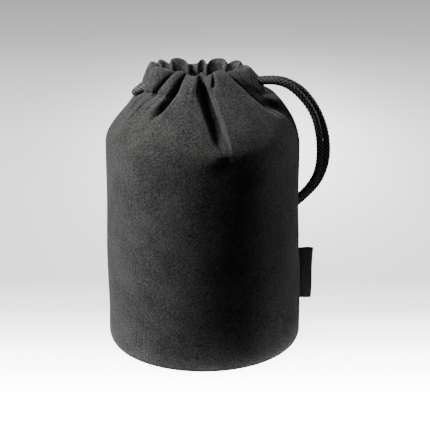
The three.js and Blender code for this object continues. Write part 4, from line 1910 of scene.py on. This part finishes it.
@dataclass
class Studio:
    """Floor, backdrop, lights and camera.

    Attributes:
        look_at: point in the middle of the picture, in millimetres.
        distance: from the camera to that point, in millimetres.
        pitch: how far the camera looks down, in degrees.
        lens: focal length for a 36 mm picture, in millimetres.
        floor_size: side of the floor, in metres.
        floor_level: height of the floor, in metres.
        floor_light: strength of the floor's glow, painted light that it gives off itself.
        glow_light: strength of the light that the floor throws up.
        room_colour: colour of the even light of the room.
        room_light: strength of the even light of the room.
    """

    look_at: Place = (6.31, 0.0, 70.2)
    distance: float = 900.0
    pitch: float = 18.765
    lens: float = 143.4
    floor_size: float = 8.0
    floor_level: float = -0.0002
    floor_light: float = 16.0
    glow_light: float = 4.4
    room_colour: Colour = (0.71, 0.83, 0.80, 1.0)
    room_light: float = 0.085

    # Shade of the floor, which it also gives off as painted light, from the near end of its ramp to the far
    # end, and where that ramp lies
    FLOOR_SHADES = (
        (0.02, 1.0), (0.06, 0.58), (0.10, 0.325), (0.14, 0.162), (0.19, 0.106), (0.36, 0.103),
        (0.5, 0.094), (0.6, 0.075), (0.7, 0.059), (0.815, 0.0415),
    )
    FLOOR_NEAR = -0.1
    FLOOR_FAR = 0.9
    FAR_SHADE = (0.03, 0.03, 0.031, 1.0)
    # Painted pool of light on the floor behind the pouch
    POOL_PLACE = (0.035, 0.38, 0.0)
    POOL_SIZE = (0.10, 0.20, 1.0)
    POOL_GAIN = 1.4
    # Inner and outer radius of the glowing ring, and its underside and top, in millimetres
    GLOW_RADII = (52.0, 58.5)
    GLOW_LEVELS = (-0.12, -0.06)

    def camera(self) -> None:
        """Places the camera."""
        data = bpy.data.cameras.new("camera")
        data.lens = self.lens
        data.sensor_width = 36.0
        data.clip_end = 50.0
        eye = bpy.data.objects.new("camera", data)
        down = math.radians(self.pitch)
        x, y, z = self.look_at
        back, up = self.distance * math.cos(down), self.distance * math.sin(down)
        eye.location = (x * MM, (y - back) * MM, (z + up) * MM)
        eye.rotation_euler = (math.radians(90.0) - down, 0.0, 0.0)
        bpy.context.scene.collection.objects.link(eye)
        bpy.context.scene.camera = eye

    def floor(self) -> bpy.types.Object:
        """Makes the pale floor, which glows with painted light that fades towards the back.

        Returns:
            The floor.
        """
        bpy.ops.object.select_all(action="DESELECT")
        bpy.ops.mesh.primitive_plane_add(size=self.floor_size, location=(0.0, 0.0, self.floor_level))
        floor = bpy.context.active_object
        floor.name = "floor"
        select_only(floor)
        bpy.ops.object.transform_apply(location=True, rotation=True, scale=True)
        material, tree, shader = new_material("pale_floor")
        place = add_node(tree, "ShaderNodeTexCoord").outputs["Object"]
        parts = add_node(tree, "ShaderNodeSeparateXYZ", {"Vector": place})
        depth = add_node(tree, "ShaderNodeMapRange", {
            "From Min": self.FLOOR_NEAR, "From Max": self.FLOOR_FAR, "Value": parts.outputs["Y"],
        })
        ramp = add_node(tree, "ShaderNodeValToRGB", {"Fac": depth.outputs["Result"]})
        ramp.color_ramp.elements[0].color = grey(1.0)
        ramp.color_ramp.elements[1].color = self.FAR_SHADE
        for along, shade in self.FLOOR_SHADES:
            ramp.color_ramp.elements.new(along).color = grey(shade)
        # Painted light: the floor glows with its ramp of shades, brightened in the painted pool
        feed(tree, shader, {
            "Base Color": ramp.outputs["Color"],
            "Emission Color": self.pool(tree, place, ramp.outputs["Color"]),
            "Emission Strength": self.floor_light,
            "Roughness": 0.9,
            "Specular IOR Level": 0.0,
        })
        floor.data.materials.append(material)
        floor.visible_diffuse = False
        floor.visible_glossy = False
        return floor

    def pool(
        self, tree: bpy.types.NodeTree, place: bpy.types.NodeSocket, shade: bpy.types.NodeSocket,
    ) -> bpy.types.NodeSocket:
        """Paints a soft pool of light on the floor behind the pouch.

        Args:
            tree: the floor's node tree.
            place: place on the floor.
            shade: the floor's shade.

        Returns:
            The brightened shade.
        """
        moved = add_node(
            tree, "ShaderNodeMapping",
            {"Vector": place, "Location": self.POOL_PLACE, "Scale": self.POOL_SIZE},
            vector_type="TEXTURE",
        ).outputs["Vector"]
        away = add_node(tree, "ShaderNodeVectorMath", {0: moved, 1: moved}, operation="DOT_PRODUCT")
        fall = add_node(
            tree, "ShaderNodeMath", {0: math.exp(-1.0), 1: away.outputs["Value"]}, operation="POWER",
        )
        gain = add_node(
            tree, "ShaderNodeMath", {0: fall.outputs["Value"], 1: self.POOL_GAIN, 2: 1.0},
            operation="MULTIPLY_ADD",
        )
        brighter = add_node(
            tree, "ShaderNodeVectorMath", {0: shade, "Scale": gain.outputs["Value"]}, operation="SCALE",
        )
        return brighter.outputs["Vector"]

    def glow(self) -> bpy.types.Object:
        """Makes the light that the pale floor throws up on the bottom edge.

        Returns:
            The glowing ring.
        """
        material, tree, shader = new_material("floor_glow")
        feed(tree, shader, {
            "Base Color": grey(0.0), "Emission Color": grey(1.0), "Emission Strength": self.glow_light,
        })
        inner, outer = self.GLOW_RADII
        under, top = self.GLOW_LEVELS
        band = ((inner, under), (outer, under), (outer, top), (inner, top))
        ring = turned("floor_glow", band, material, ring=True)
        ring.visible_camera = False
        ring.visible_shadow = False
        return ring

    @staticmethod
    def hang(data: bpy.types.Light, place: Place, target: Place, receivers: bpy.types.Collection) -> None:
        """Hangs a light and turns it to its target.

        Args:
            data: the light.
            place: where it is, in metres.
            target: what it points at, in metres.
            receivers: the only things that it lights.
        """
        lamp = bpy.data.objects.new(data.name, data)
        lamp.location = place
        lamp.rotation_euler = (Vector(target) - Vector(place)).to_track_quat("-Z", "Y").to_euler()
        lamp.visible_camera = False
        lamp.light_linking.receiver_collection = receivers
        bpy.context.scene.collection.objects.link(lamp)

    def light(
        self, name: str, place: Place, target: Place, power: float, size: float,
        receivers: bpy.types.Collection,
    ) -> None:
        """Adds a soft square light.

        Args:
            name: name of the light.
            place: where it is, in metres.
            target: what it points at, in metres.
            power: its power, in watts.
            size: its side, in metres.
            receivers: the only things that it lights.
        """
        data = bpy.data.lights.new(name, "AREA")
        data.energy = power
        data.size = size
        self.hang(data, place, target, receivers)

    def spot(
        self, name: str, place: Place, target: Place, power: float, cone: float,
        receivers: bpy.types.Collection,
    ) -> None:
        """Adds a soft-edged pool of light.

        Args:
            name: name of the light.
            place: where it is, in metres.
            target: what it points at, in metres.
            power: its power, in watts.
            cone: its full angle, in degrees.
            receivers: the only things that it lights.
        """
        data = bpy.data.lights.new(name, "SPOT")
        data.energy = power
        data.spot_size = math.radians(cone)
        data.spot_blend = 1.0
        data.shadow_soft_size = 0.05
        self.hang(data, place, target, receivers)

    @staticmethod
    def lit(name: str, things: Sequence[bpy.types.Object]) -> bpy.types.Collection:
        """Collects the only things that a light reaches.

        Args:
            name: name of the collection.
            things: the things.

        Returns:
            The collection.
        """
        group = bpy.data.collections.new(name)
        for thing in things:
            group.objects.link(thing)
        return group

    def lights(self, floor: bpy.types.Object, glow: bpy.types.Object) -> None:
        """Places the lights and the even light of the room.

        Args:
            floor: the floor, which only the light of the sky reaches.
            glow: the glowing ring, which lights the pouch alone.
        """
        meshes = [thing for thing in bpy.context.scene.objects if thing.type == "MESH"]
        shown = [thing for thing in meshes if thing not in (floor, glow)]
        pieces = self.lit("lit_pieces", shown)
        ground = self.lit("lit_floor", [floor])
        behind = [thing for thing in shown if thing.name.startswith("collar_back")]
        far_side = self.lit("lit_far_side", behind)
        middle, neck = (0.0, 0.0, 0.08), (0.0, 0.0, 0.13)
        mouth, far_rim = (0.0, 0.0, 0.148), (0.0, 0.02, 0.148)
        self.light("key", (-1.0, 0.05, 0.30), middle, 12.8, 0.35, pieces)
        self.light("top", (-0.66, -0.15, 0.85), neck, 18.0, 0.24, pieces)
        self.light("edge", (0.8, 0.40, 0.30), middle, 5.0, 0.35, pieces)
        self.spot("crown", (-0.62, -0.26, 0.66), mouth, 44.0, 6.4, pieces)
        self.spot("mouth", (-0.25, -0.55, 0.62), far_rim, 46.0, 7.6, far_side)
        self.light("sky", (0.0, 0.0, 1.6), (0.0, 0.0, 0.0), 55.0, 1.6, ground)
        glow.light_linking.receiver_collection = pieces
        world = bpy.data.worlds.new("room")
        world.use_nodes = True
        room = world.node_tree.nodes["Background"]
        feed(world.node_tree, room, {"Color": self.room_colour, "Strength": self.room_light})
        bpy.context.scene.world = world


def main() -> None:
    """Builds the pouch piece by piece, then its studio."""
    logging.basicConfig(level=logging.INFO, format="%(name)s: %(message)s")
    studio = Studio()
    studio.camera()
    shape = ClothShape()
    for assembly in (Pouch(shape), Inside(), Drawcord(shape), Stitching(shape), Label()):
        for piece in assembly.build():
            LOG.info("%s: %d faces", piece.name, len(piece.data.polygons))
    studio.lights(studio.floor(), studio.glow())


if __name__ == "__main__":
    main()
